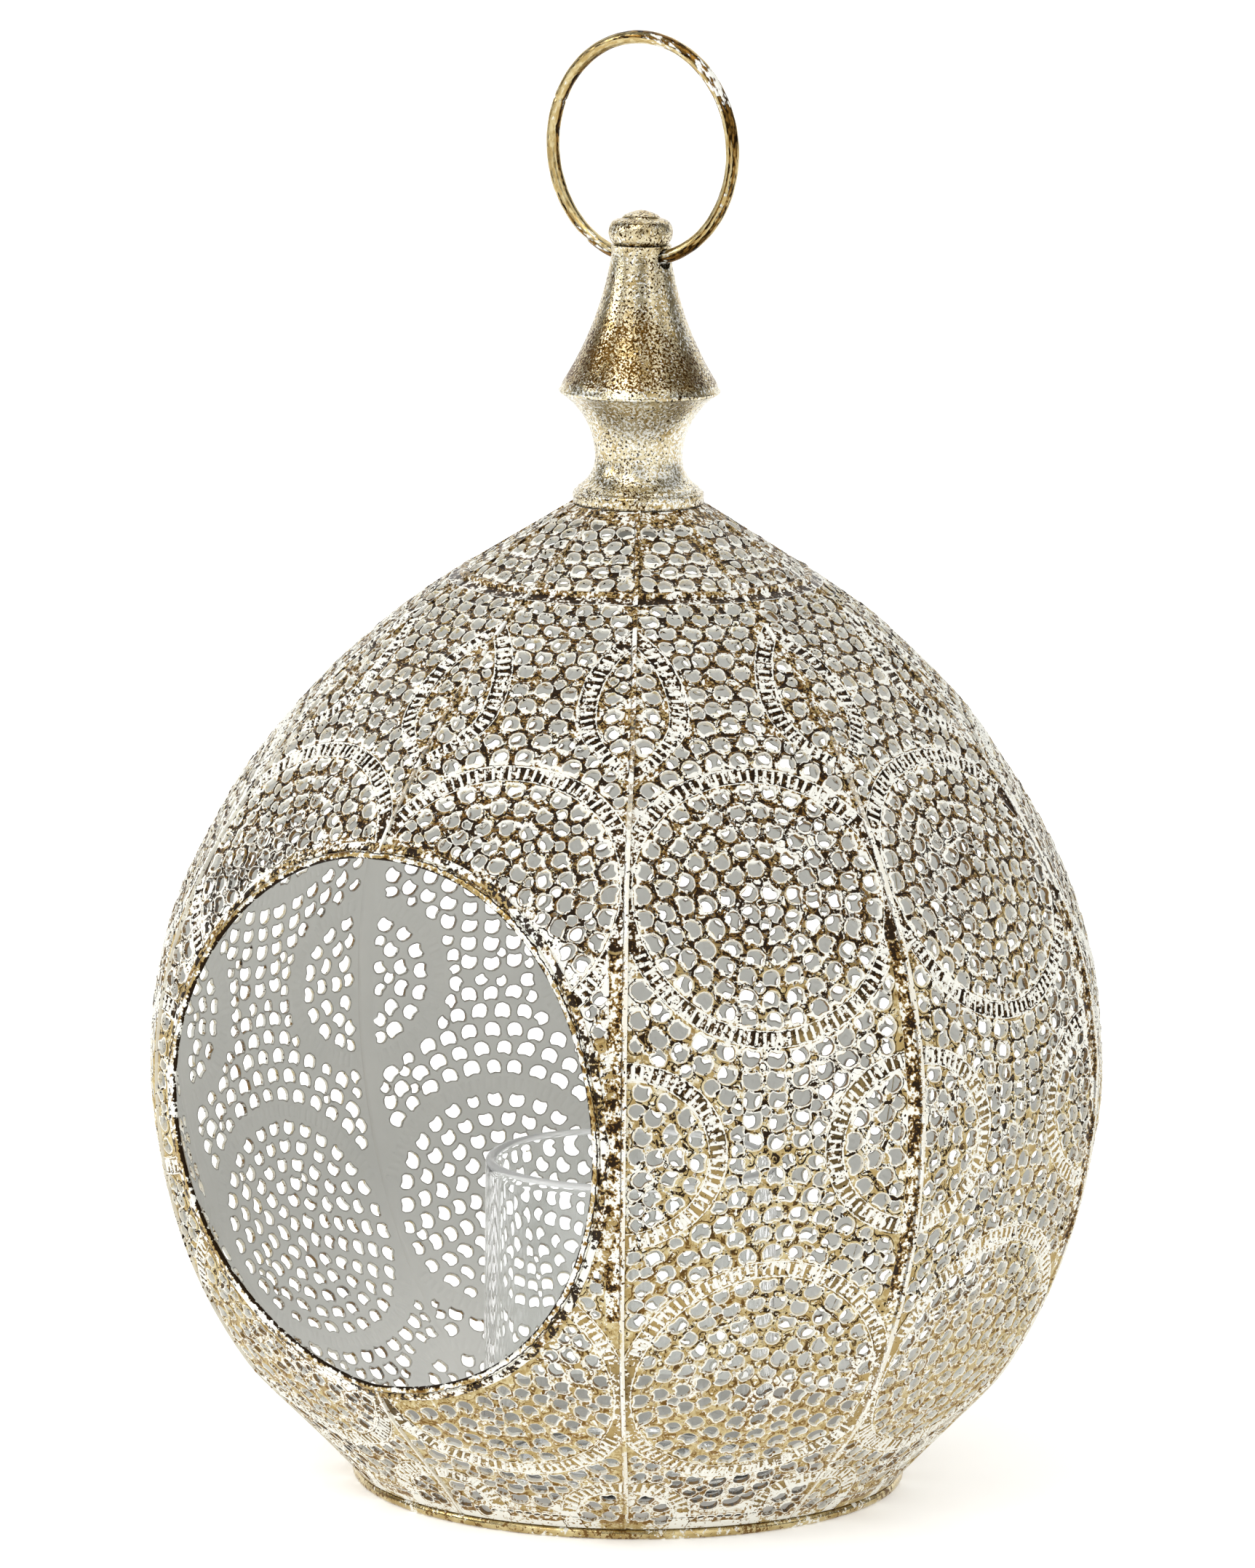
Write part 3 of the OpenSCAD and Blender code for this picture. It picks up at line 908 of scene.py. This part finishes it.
def strip_skin(f, k):
    """Cream and gold dashes, with darker joints between them."""
    joint = f.between(f.total(k.gap, (k.grit, 0.9), (k.blotch, 0.5)), 0.10, 0.26)
    dashes = f.mix(f.between(k.rough, -0.04, 0.06), GOLD, CREAM)
    dark = f.mix(f.between(k.rough, -0.12, -0.06), DARK, BROWN)
    light = f.mix(f.between(k.rough, 0.02, 0.07), GOLD, CREAM)
    return f.mix(joint, dashes, f.mix(f.between(k.rough, -0.05, 0.01), dark, light))


def band_skin(f, k):
    """Cream on the ticks and raised lines, gold or old patina between them."""
    raised = f.total(k.relief, (k.grit, 1.1), (k.blotch, 0.7))
    dark = f.mix(f.between(k.rough, -0.1, 0.1), DARK, BROWN)
    sunk = f.mix(f.between(k.aged, -0.1, 0.4), GOLD, dark)
    sunk = f.mix(f.between(k.rough, 0.02, 0.09), sunk, CREAM)
    return f.mix(f.between(raised, 0.18, 0.34), sunk, CREAM)


def seam_skin(f, k, skin):
    """A pale lap along the seam with a dark line of painted shade beside it, laid over the rest of the skin.
    """
    beside = f.total(k.seam, (k.rough, 0.8))
    # painted shade: a dark line in the patina colour runs along the foot of the lap, where the seam lies in
    # shade
    line = f.times(f.between(beside, 0.30, 0.5), f.between(beside, 0.95, 0.7))
    line = f.times(line, f.between(f.total(k.patch, k.rough), -0.12, 0.02), 0.7)
    skin = f.mix(line, skin, k.patina)
    lap = f.between(f.total(k.seam, (k.rough, 2.6), (k.patch, 2.6)), 0.12, -0.08)
    lap = f.times(f.between(k.seam, 0.75, 0.6), lap, f.between(f.height, 0.235, 0.17))
    return f.mix(lap, skin, LAP_CREAM)


def pierced_outside():
    """Aged gold under a rubbed cream wash, laid out by the marks on the gores' meshes, with painted shade
    beside each seam.
    """
    f = Finish("patina_wash_and_painted_shade")
    f.set("Sheen Weight", 0.10)
    f.set("Sheen Roughness", 0.4)
    f.set("Specular IOR Level", 0.08)
    k = sheet_marks(f)
    strip = f.times(f.between(k.border, 0.3, 0.45), f.between(k.border, 0.75, 0.6))
    skin = f.mix(strip, scale_skin(f, k), strip_skin(f, k))
    skin = f.mix(f.between(k.border, 0.8, 0.95), skin, band_skin(f, k))
    skin = seam_skin(f, k, skin)
    specks = f.between(f.total(f.grain(0.0005, detail=1.0, shift=41.0), (k.patch, 0.25)), 0.15, 0.19)
    f.set("Base Color", f.mix(specks, skin, k.patina))
    f.set("Roughness", f.total((k.blotch, 0.3), (k.grit, 0.2), 0.42))
    f.bump(f.total(k.blotch, (k.grit, 0.6)), 0.0004, 0.6)
    return f.material


def painted_inside():
    """Thin pale paint, greyer at the holes' edges, with painted light low down: a faint glow that brightens
    the shaded bottom of the inside.
    """
    f = Finish("grey_paint_and_painted_glow", roughness=0.55)
    coat = f.mix(f.noise(0.012, detail=3.0), srgb(228, 229, 226), srgb(238, 238, 234))
    worn = f.between(f.total(f.attribute("gap"), (f.grain(0.001), 0.5)), 0.5, 0.1)
    f.set("Base Color", f.mix(worn, coat, srgb(160, 156, 148)))
    # painted light: the paint glows low down, where the shell keeps the inside in shade
    f.set("Emission Color", srgb(222, 221, 216))
    f.set("Emission Strength", f.times(f.between(f.height, 0.07, 0.0), 0.22))
    f.bump(f.noise(0.0012), 0.0002, 0.35)
    return f.material


def aged_gold():
    """Bright brass with brown specks and a thin rubbed white wash."""
    f = Finish("rim_gold", metallic=1.0)
    speck = f.grain(0.0007, detail=3.0, rough=0.7)
    broad = f.grain(0.006, detail=3.0, shift=5.0)
    tone = f.grain(0.0025, shift=9.0)
    gold = f.mix(f.between(tone, -0.2, 0.2), GOLD, PALE_GOLD)
    dirt = f.between(f.total(speck, (broad, 0.55)), 0.05, 0.12)
    rubbed = f.grain(0.00091, detail=3.0, rough=0.7, shift=2.0)
    wash = f.between(f.total(rubbed, (broad, -0.5)), 0.08, 0.16)
    f.set("Base Color", f.mix(wash, f.mix(dirt, gold, BROWN), CREAM))
    f.set("Metallic", f.total((wash, -0.9), (dirt, -0.3), 1.0))
    f.set("Roughness", f.total((wash, 0.3), (dirt, 0.25), (tone, 0.1), 0.2))
    f.bump(f.total(speck, (tone, 0.8)), 0.0003, 0.35)
    return f.material


def finial_brass():
    """Brass under fine dark grain, densest low on the cone and on the dome, rubbed pale on the waist."""
    f = Finish("finial_brass", metallic=1.0)
    fine = f.grain(0.0003, rough=0.6)
    blotch = f.grain(0.0022, shift=5.0)
    broad = f.grain(0.009, shift=9.0)
    low_cone = f.times(f.between(f.height, 0.328, 0.3085), f.between(f.height, 0.3015, 0.304))
    dome = f.between(f.height, 0.3595, 0.3615)
    foot = f.between(f.height, 0.279, 0.272)
    spool = f.between(f.height, 0.302, 0.298)
    grain = f.total(fine, (blotch, 0.25), (broad, 0.3), (low_cone, 0.12), (dome, 0.16), (foot, 0.03), -0.075)
    rub = f.total(f.grain(0.0004, rough=0.6, shift=2.0), (broad, -0.3), (spool, 0.03), (low_cone, -0.05),
                  (dome, -0.2), -0.05)
    pale = f.between(rub, -0.02, 0.05)
    dark = f.between(grain, 0.0, 0.05)
    gold = f.mix(f.between(blotch, -0.25, 0.10), GOLD, srgb(212, 201, 168))
    skin = f.mix(dark, f.mix(pale, gold, CREAM), f.mix(f.between(fine, 0.02, 0.16), BROWN, DARK))
    f.set("Base Color", skin)
    f.set("Metallic", f.total((pale, -0.45), 1.0))
    f.set("Roughness", f.total((dark, 0.16), (blotch, 0.1), 0.22))
    f.bump(f.total(fine, (blotch, 0.8)), 0.0003, 0.4)
    return f.material


def ring_brass():
    """Drawn wire: dark lines and rubbed patches run lengthwise."""
    f = Finish("ring_brass", metallic=1.0)
    drawn = f.node("CombineXYZ")
    for axis, name in enumerate(("round_x", "round_y", "along")):
        f.put(drawn.inputs[axis], f.attribute(name))

    def grain(size, shift, stretch):
        node = f.node("Mapping")
        f.put(node.inputs["Vector"], drawn.outputs[0])
        node.inputs["Scale"].default_value = (0.5 / size, 0.5 / size, 0.5 / (size * stretch))
        node.inputs["Location"].default_value = (shift, shift, shift)
        texture = f.node("TexNoise")
        f.put(texture.inputs["Vector"], node.outputs[0])
        texture.inputs["Scale"].default_value = 1.0
        texture.inputs["Detail"].default_value = 2.0
        return f.maths("SUBTRACT", texture.outputs[0], 0.5)

    streak = grain(0.9, 0.0, 40.0)
    fine = grain(0.35, 7.0, 3.0)
    broad = grain(4.0, 13.0, 3.0)
    dark = f.between(f.total(streak, (fine, 0.25), (broad, 0.2)), 0.0, 0.06)
    gold = f.mix(f.between(fine, -0.15, 0.15), GOLD, PALE_GOLD)
    skin = f.mix(dark, gold, f.mix(f.between(fine, -0.1, 0.1), BROWN, DARK))
    wash = f.between(f.total(broad, (fine, 0.6), (grain(1.0, 19.0, 6.0), 0.6)), 0.12, 0.20)
    f.set("Base Color", f.mix(wash, skin, CREAM))
    f.set("Metallic", f.total((wash, -0.85), 1.0))
    f.set("Roughness", f.total((wash, 0.25), (fine, 0.15), 0.28))
    f.bump(f.total(streak, (fine, 0.6)), 0.0003, 0.4)
    return f.material


def worn_rim():
    """Brass bead, a dark groove behind it, and a hem of gold, brown and rubbed wash."""
    f = Finish("mouth_rim")
    f.set("Specular IOR Level", 0.16)
    grit = f.grain(0.0005)
    blotch = f.grain(0.0017, shift=3.0)
    broad = f.grain(0.009, shift=7.0)
    rough = f.total(blotch, (grit, 0.8))
    bead = f.mix(f.between(rough, -0.16, -0.08), BROWN, GOLD)
    bead = f.mix(f.between(f.total(rough, (broad, 0.8)), -0.04, 0.06), bead, CREAM)
    hem = f.mix(f.between(rough, -0.06, 0.0), DARK, f.mix(f.between(grit, -0.06, 0.02), BROWN, GOLD))
    hem = f.mix(f.between(f.total(rough, (broad, 1.2)), 0.0, 0.07), hem, CREAM)
    out = f.total(f.attribute("out"), (rough, 1.2))
    skin = f.mix(f.between(out, 1.15, 1.25), bead, DARK)
    skin = f.mix(f.between(out, 1.5, 1.6), skin, hem)
    f.set("Base Color", f.mix(f.between(out, 0.25, 0.15), skin, DARK))
    f.set("Metallic", f.times(f.between(out, 1.2, 1.1), 0.7))
    f.set("Roughness", f.total((blotch, 0.3), 0.34))
    f.bump(f.total(blotch, (grit, 0.6)), 0.0004, 0.6)
    return f.material


def plated_steel():
    f = Finish("zinc_plate", roughness=0.35, metallic=0.9)
    f.set("Base Color", f.mix(f.noise(0.002, detail=3.0), srgb(150, 150, 148), srgb(196, 196, 192)))
    f.bump(f.noise(0.0006), 0.0001, 0.4)
    return f.material


def clear_glass():
    """Clear glass with a painted reflection: pale drawn streaks where the wall is seen edge on, and a paler
    rim as a painted highlight.
    """
    f = Finish("clear_glass", roughness=0.0)
    f.set("IOR", 1.45)
    f.set("Base Color", (0.985, 0.995, 0.995, 1.0))
    facing = f.node("LayerWeight")
    facing.inputs["Blend"].default_value = 0.5
    streak = f.grain(0.0016, stretch=(1, 1, 0.06))
    # painted reflection: where the wall is seen edge on the glass turns pale, broken into drawn streaks
    pale = f.times(f.between(facing.outputs["Facing"], 0.72, 0.97), f.between(streak, -0.05, 0.10), 0.9)
    # painted highlight: the top of the rim is made partly pale
    rim = f.times(f.between(f.height, 0.0868, 0.0882), 0.55)
    f.set("Transmission Weight", f.maths("SUBTRACT", 1.0, f.maths("MAXIMUM", pale, rim)))
    f.bump(f.noise(0.010, stretch=(1, 1, 0.15)), 0.0006, 0.35)
    return f.material


def floor_finish():
    """White paper that glows a little, so that the floor fades into the background."""
    f = Finish("floor", roughness=0.8)
    f.set("Base Color", f.mix(f.noise(0.4), srgb(250, 250, 249), srgb(253, 253, 252)))
    f.set("Emission Color", (1, 1, 1, 1))
    f.set("Emission Strength", 0.3)
    return f.material


# ---------------------------------------------------------------- turned, rolled and bent pieces
SHARP = math.radians(40)


def mesh_object(name, points, faces, material):
    """An object from points in millimetres."""
    mesh = bpy.data.meshes.new(name)
    mesh.from_pydata((np.asarray(points) * MM).tolist(), [], faces)
    mesh.shade_smooth()
    mesh.set_sharp_from_angle(angle=SHARP)
    mesh.materials.append(material)
    return linked(name, mesh)


def ring_faces(rows, columns, closed_rows=False):
    """Quads over a grid of points that closes round its columns, and round its rows if asked."""
    faces = []
    for i in range(rows if closed_rows else rows - 1):
        for j in range(columns):
            a, b = i * columns + j, i * columns + (j + 1) % columns
            c, d = ((i + 1) % rows) * columns + (j + 1) % columns, ((i + 1) % rows) * columns + j
            faces.append((a, b, c, d))
    return faces


def turned(name, profile, material, columns=128, wobble=0.0, seed=0):
    """A closed solid of revolution; profile runs anticlockwise in (r, z) with r above zero."""
    rng = np.random.default_rng(seed)
    t = np.linspace(0, 2 * math.pi, columns, endpoint=False)
    profile = np.asarray(profile)
    uneven = sum(rng.normal(0, 1) * np.cos(k * t + rng.uniform(0, 6)) for k in (2, 3, 5)) * wobble
    r = profile[:, 0, None] + uneven[None] * smooth(profile[:, 0, None], 3.4, 6)
    points = np.stack([r * np.cos(t), r * np.sin(t), np.broadcast_to(profile[:, 1, None], r.shape)], -1)
    return mesh_object(name, points.reshape(-1, 3), ring_faces(len(profile), columns, True), material)


def arc_points(centre, radius, start, stop, count):
    """Points of an arc in the (r, z) plane; angles are in degrees from the +r direction."""
    t = np.radians(np.linspace(start, stop, count))
    return [(centre[0] + radius * math.cos(a), centre[1] + radius * math.sin(a)) for a in t]


def tube(name, path, radius, material, sides, frame_up):
    """A closed tube along a closed path; radius may change along it, and its sides start at frame_up."""
    ahead = np.roll(path, -1, 0) - np.roll(path, 1, 0)
    ahead /= np.linalg.norm(ahead, axis=1, keepdims=True)
    up = frame_up - (frame_up * ahead).sum(1, keepdims=True) * ahead
    up /= np.linalg.norm(up, axis=1, keepdims=True)
    side = np.cross(ahead, up)
    t = np.linspace(0, 2 * math.pi, sides, endpoint=False)
    radius = np.broadcast_to(np.asarray(radius, float).reshape(-1, 1), (len(path), sides))
    u, v = radius * np.cos(t), radius * np.sin(t)
    points = path[:, None] + u[..., None] * up[:, None] + v[..., None] * side[:, None]
    return mesh_object(name, points.reshape(-1, 3), ring_faces(len(path), sides, True), material)


def build_mouth_rim(material):
    """Rolled bead and the flat hem behind it, following the shell's surface round the mouth."""
    turn = np.linspace(0, 2 * math.pi, 300, endpoint=False)
    bead = arc_points((0.9, 0.15), 0.9, 215, 25, 13)
    hem = [(1.95, -0.05), (2.15, 0.5), (2.7, 0.62), (3.3, 0.6), (3.75, 0.45), (3.9, 0.05)]
    hem += [(3.9, -1.2), (1.6, -1.25)]
    profile = np.array(bead + hem)
    rng = np.random.default_rng(7)
    beat = 1 + 0.05 * np.sin(turn * 23 + 1) + 0.05 * np.sin(turn * 41) + rng.normal(0, 0.02, len(turn))
    points = np.zeros((len(turn), len(profile), 3))
    for j, (out, lift) in enumerate(profile):
        corner = mouth_seam_turn(MOUTH_R + out)
        on_first = np.cos(turn) >= math.cos(corner)
        for gore, here in ((0, on_first), (GORES - 1, ~on_first)):
            at = mouth_edge(gore, MOUTH_R + out * np.where(out < 3.8, 1, beat[here]), turn[here])
            points[here, j] = shell_xyz(gore, at[:, 0], at[:, 1], lift * np.where(lift > 0.4, beat[here], 1))
    faces = ring_faces(len(turn), len(profile), True)
    made = mesh_object("rolled_mouth_rim", points.reshape(-1, 3), faces, material)
    mark(made.data, "out", np.tile(profile[:, 0], len(turn)))
    return made


def build_base_rim(material):
    """Rolled bead round the foot."""
    turn = np.linspace(0, 2 * math.pi, 300, endpoint=False)
    bead, rim_r = 1.5, 74.5
    path = np.stack([rim_r * np.cos(turn), rim_r * np.sin(turn), np.full_like(turn, bead)], -1)
    rng = np.random.default_rng(8)
    beat = 0.02 * np.sin(turn * 37) + 0.02 * np.sin(turn * 61 + 2)
    size = bead * (1 + beat + rng.normal(0, 0.01, len(turn)))
    up = np.stack([np.cos(turn), np.sin(turn), np.zeros_like(turn)], -1)
    return tube("rolled_base_rim", path, np.minimum(size, bead), material, 20, up)


def build_spool(material):
    """Foot disc, cove, waist and flare, as turned."""
    low, high = 270.0, 300.0
    outer = arc_points((17.1, low + 0.8), 0.8, -90, 0, 5) + arc_points((17.1, low + 2.9), 0.8, 0, 75, 6)
    waist, cove_r, cove_end = (12, 282.5), 9, 60
    cove = (waist[0] + cove_r * (1 - math.cos(math.radians(cove_end))),
            waist[1] - cove_r * math.sin(math.radians(cove_end)))
    outer += [(cove[0] + 0.1, low + 3.9), cove]
    outer += slope_arc(cove, -cove_r, cove_end, 0, 1)[::2]
    outer += slope_arc(waist, -21, 0, -56.4, 1)[::2]
    outer[-1] = (outer[-1][0], high)
    inner = [(3.3, high), (3.3, 285), (3.3, low)]
    return turned("turned_spool", outer + inner, material, wobble=0.05, seed=3)


def build_cone(material):
    """Flared cone with a lip, bored across for the ring."""
    low, top = 300.0, 340.4
    lip_r = 8.3 + 90 * (math.cos(math.radians(8)) - math.cos(math.radians(33)))
    outer = [(3.0, low), (lip_r - 0.8, low)]
    outer += arc_points((lip_r - 0.75, low + 0.75), 0.75, -90, 40, 7)
    outer += [(lip_r - 0.55, low + 1.65)]
    outer += slope_arc((lip_r - 0.3, low + 1.9), -90, 33, 8, 1)
    outer += [(8.3, top), (3.5, top), (3.5, top + 2.6), (0.02, top + 2.6), (0.02, 325), (3.0, 325)]
    made = turned("turned_cone", outer, material, wobble=0.04, seed=5)
    drill = turned("drill", [(2.8, -20), (2.8, 20), (0.01, 20), (0.01, -20)], material, columns=48)
    drill.matrix_world = Matrix.Translation((0, 0, 337 * MM)) @ Matrix.Rotation(math.pi / 2, 4, "Y")
    cut = made.modifiers.new("bore", "BOOLEAN")
    cut.operation, cut.object, cut.solver = "DIFFERENCE", drill, "EXACT"
    bpy.context.view_layer.update()
    mesh = bpy.data.meshes.new_from_object(made.evaluated_get(bpy.context.evaluated_depsgraph_get()))
    made.modifiers.clear()
    made.data = mesh
    mesh.set_sharp_from_angle(angle=SHARP)
    bpy.data.objects.remove(drill)
    return made


def build_knob(material):
    """Bead with a low dome on top."""
    low = 340.4
    outer = [(3.6, low), (6.9, low)] + arc_points((4.2, low + 3.4), 4.5, -42, 42, 15)
    outer += [(6.6, low + 6.9), (5.6, low + 7.15), (5.2, low + 7.3)]
    outer += arc_points((0, low + 4.9), 5.75, 28, 88, 12)
    outer += [(0.02, low + 10.65), (0.02, low + 2.7), (3.6, low + 2.7)]
    outer = [(r, z - 1.25 * smooth(z, low + 7.2, low + 10.6)) for r, z in outer]
    return turned("turned_knob", outer, material, wobble=0.05, seed=9)


RING_R, WIRE_R, RING_Z = 30.0, 1.8, 366.41
JOINT_TURN, SCAR_TURN = math.radians(157), math.radians(205)


def build_ring(material):
    """Bent wire with a tight butt joint and a filed step below it."""
    turn = np.linspace(0, 2 * math.pi, 300, endpoint=False) + JOINT_TURN
    away = np.abs((turn - JOINT_TURN + math.pi) % (2 * math.pi) - math.pi)
    step = turn % (2 * math.pi) - SCAR_TURN
    uneven = 0.015 * np.sin(turn * 9) + 0.01 * np.sin(turn * 31)
    wire = WIRE_R * (1 - 0.16 * np.exp(-(away / 0.012) ** 2) + uneven)
    wire = wire * (1 - 0.05 * ((step > 0) & (step < 0.9)))
    path = np.stack([RING_R * np.cos(turn), 0 * turn, RING_Z + RING_R * np.sin(turn)], -1)
    up = np.stack([np.cos(turn), 0 * turn, np.sin(turn)], -1)
    sides = 24
    made = tube("bent_wire_ring", path, wire, material, sides, up)
    about = np.linspace(0, 2 * math.pi, sides, endpoint=False)
    along = np.abs(turn - JOINT_TURN - math.pi) * RING_R
    mark(made.data, "round_x", np.tile(WIRE_R * np.cos(about), len(turn)))
    mark(made.data, "round_y", np.tile(WIRE_R * np.sin(about), len(turn)))
    mark(made.data, "along", np.repeat(along, sides))
    return made


def build_glass(material):
    """Clear cup with a ground foot, a rounded rim and a thick floor."""
    low, top, out, inn = 1.0, 89.0, 40.0, 37.2
    outer = [(0.02, low + 0.25), (33, low + 0.25), (35, low)]
    outer += arc_points((out - 1.6, low + 1.6), 1.6, -90, 0, 7)
    outer += [(out, z) for z in np.linspace(low + 6, top - 4, 24)]
    outer += arc_points((out - 1.4, top - 1.4), 1.4, 0, 180, 13)
    outer += [(inn, z) for z in np.linspace(top - 4, low + 8, 24)]
    outer += arc_points((inn - 2.5, low + 6.5), 2.5, 0, -90, 7) + [(20, low + 3.9), (0.02, low + 3.8)]
    return turned("clear_glass_cup", outer, material, columns=160, wobble=0.04, seed=2)


# ---------------------------------------------------------------- the scene
OUTSIDE, INSIDE = pierced_outside(), painted_inside()
FINIAL_GOLD, STEEL = finial_brass(), plated_steel()


def place(made, node, body="shell"):
    """The piece rides its body and stands for one CAD node."""
    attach(made, body)
    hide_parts(node)


for number in range(GORES):
    gore = build_gore(number)
    gore.data.materials.append(OUTSIDE)
    gore.data.materials.append(INSIDE)
    place(gore, f"gore_{number + 1:02d}")
place(build_mouth_rim(worn_rim()), "mouth_rim")
place(build_base_rim(aged_gold()), "base_rim")
place(build_spool(FINIAL_GOLD), "finial_spool")
place(build_cone(FINIAL_GOLD), "finial_cone")
place(build_knob(FINIAL_GOLD), "finial_knob")
place(build_ring(ring_brass()), "hanging_ring", "ring")
place(build_glass(clear_glass()), "glass_cylinder", "glass")


def refinish(node, material):
    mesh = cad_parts[node].data
    mesh.materials.clear()
    mesh.materials.append(material)


# the base plate and neck plate take the inside paint, and with it the painted glow low down
refinish("base_plate", INSIDE)
refinish("neck_plate", INSIDE)
refinish("finial_screw", STEEL)
refinish("screw_washer", STEEL)


def build_floor():
    mesh = bpy.data.meshes.new("floor")
    half = 15.0
    corners = [(-half, -half, 0), (half, -half, 0), (half, half, 0), (-half, half, 0)]
    mesh.from_pydata(corners, [], [(0, 1, 2, 3)])
    mesh.materials.append(floor_finish())
    linked("floor", mesh)


VIEW_AZIMUTH = math.radians(36.3)       # the side that the camera stands on, from -Y towards +X


def outward(azimuth, lift):
    """Unit vector towards a place round the lantern; azimuth 0 is in front, towards -Y."""
    flat = math.cos(lift)
    return Vector((math.sin(azimuth) * flat, -math.cos(azimuth) * flat, math.sin(lift)))


def build_camera():
    """A long lens that looks slightly down from 2.4 m away and leans a little."""
    back, far = outward(VIEW_AZIMUTH, math.radians(9.6)), 2.4
    right = Vector((math.cos(VIEW_AZIMUTH), math.sin(VIEW_AZIMUTH), 0))
    target = right * -0.0021 + Vector((0, 0, 0.19267))
    data = bpy.data.cameras.new("camera")
    data.lens, data.sensor_width = 202.05, 36.0
    data.clip_start, data.clip_end = 0.05, 50
    roll = Matrix.Rotation(math.radians(0.614), 3, "Z")
    turn = Matrix((right, back.cross(right), back)).transposed() @ roll
    camera = linked("camera", data)
    camera.matrix_world = Matrix.Translation(target + back * far) @ turn.to_4x4()
    bpy.context.scene.camera = camera


def lamp(name, kind, azimuth, lift, far=0.0):
    """A lamp that shines on the shell from its front or sides; gives its data to be set."""
    data = bpy.data.lights.new(name, kind)
    way = outward(math.radians(azimuth), math.radians(lift))
    spot = Matrix.Translation(Vector((0, 0, 0.18)) + way * far)
    linked(name, data).matrix_world = spot @ (-way).to_track_quat("-Z", "Y").to_matrix().to_4x4()
    return data


def soft_box(name, azimuth, size, power):
    data = lamp(name, "AREA", azimuth, 25, 1.6)
    data.shape, data.size, data.energy = "SQUARE", size, power


def build_world(strength):
    """Even white surround; in reflections it has two soft boxes, dark flags round them and a pale back."""
    world = bpy.data.worlds.new("studio")
    world.use_nodes = True
    tree = world.node_tree
    back = tree.nodes["Background"]
    back.inputs["Color"].default_value = (1, 1, 1, 1)

    def maths(kind, a, b=0.0):
        node = tree.nodes.new("ShaderNodeMath")
        node.operation = kind
        for socket, value in zip(node.inputs, (a, b)):
            if isinstance(value, (int, float)):
                socket.default_value = value
            else:
                tree.links.new(value, socket)
        return node.outputs[0]

    way = tree.nodes.new("ShaderNodeSeparateXYZ")
    tree.links.new(tree.nodes.new("ShaderNodeTexCoord").outputs["Generated"], way.inputs[0])
    x, y = way.outputs[0], way.outputs[1]
    front = maths("ADD", maths("MULTIPLY", x, math.sin(VIEW_AZIMUTH)),
                  maths("MULTIPLY", y, -math.cos(VIEW_AZIMUTH)))
    squares = maths("ADD", maths("MULTIPLY", x, x), maths("ADD", maths("MULTIPLY", y, y), 0.01))
    facing = maths("DIVIDE", front, maths("SQRT", squares))
    ramp = tree.nodes.new("ShaderNodeValToRGB")
    tree.links.new(maths("ADD", maths("MULTIPLY", facing, 0.5), 0.5), ramp.inputs[0])
    stops = [(0.10, 1.0), (0.22, 0.16), (0.78, 0.14), (0.84, 1.0), (0.97, 1.0), (0.985, 0.25)]
    while len(ramp.color_ramp.elements) < len(stops):
        ramp.color_ramp.elements.new(0.5)
    for element, (at, level) in zip(ramp.color_ramp.elements, stops):
        element.position, element.color = at, (level, level, level, 1)
    path = tree.nodes.new("ShaderNodeLightPath")
    glossy, seen = path.outputs["Is Glossy Ray"], path.outputs["Is Camera Ray"]
    level = maths("ADD", strength, maths("MULTIPLY", seen, 1.02 - strength))
    mirrored = maths("MULTIPLY", maths("SUBTRACT", maths("MULTIPLY", ramp.outputs[0], 1.4), strength), glossy)
    tree.links.new(maths("ADD", level, mirrored), back.inputs["Strength"])
    bpy.context.scene.world = world


build_floor()
build_camera()
build_world(0.88)
bpy.context.scene.view_settings.view_transform = "Standard"
sun = lamp("sun", "SUN", 0, 52)
sun.energy, sun.angle = 0.6, math.radians(35)
soft_box("right", 112, 0.6, 1.5)
soft_box("left", -45, 0.5, 5)
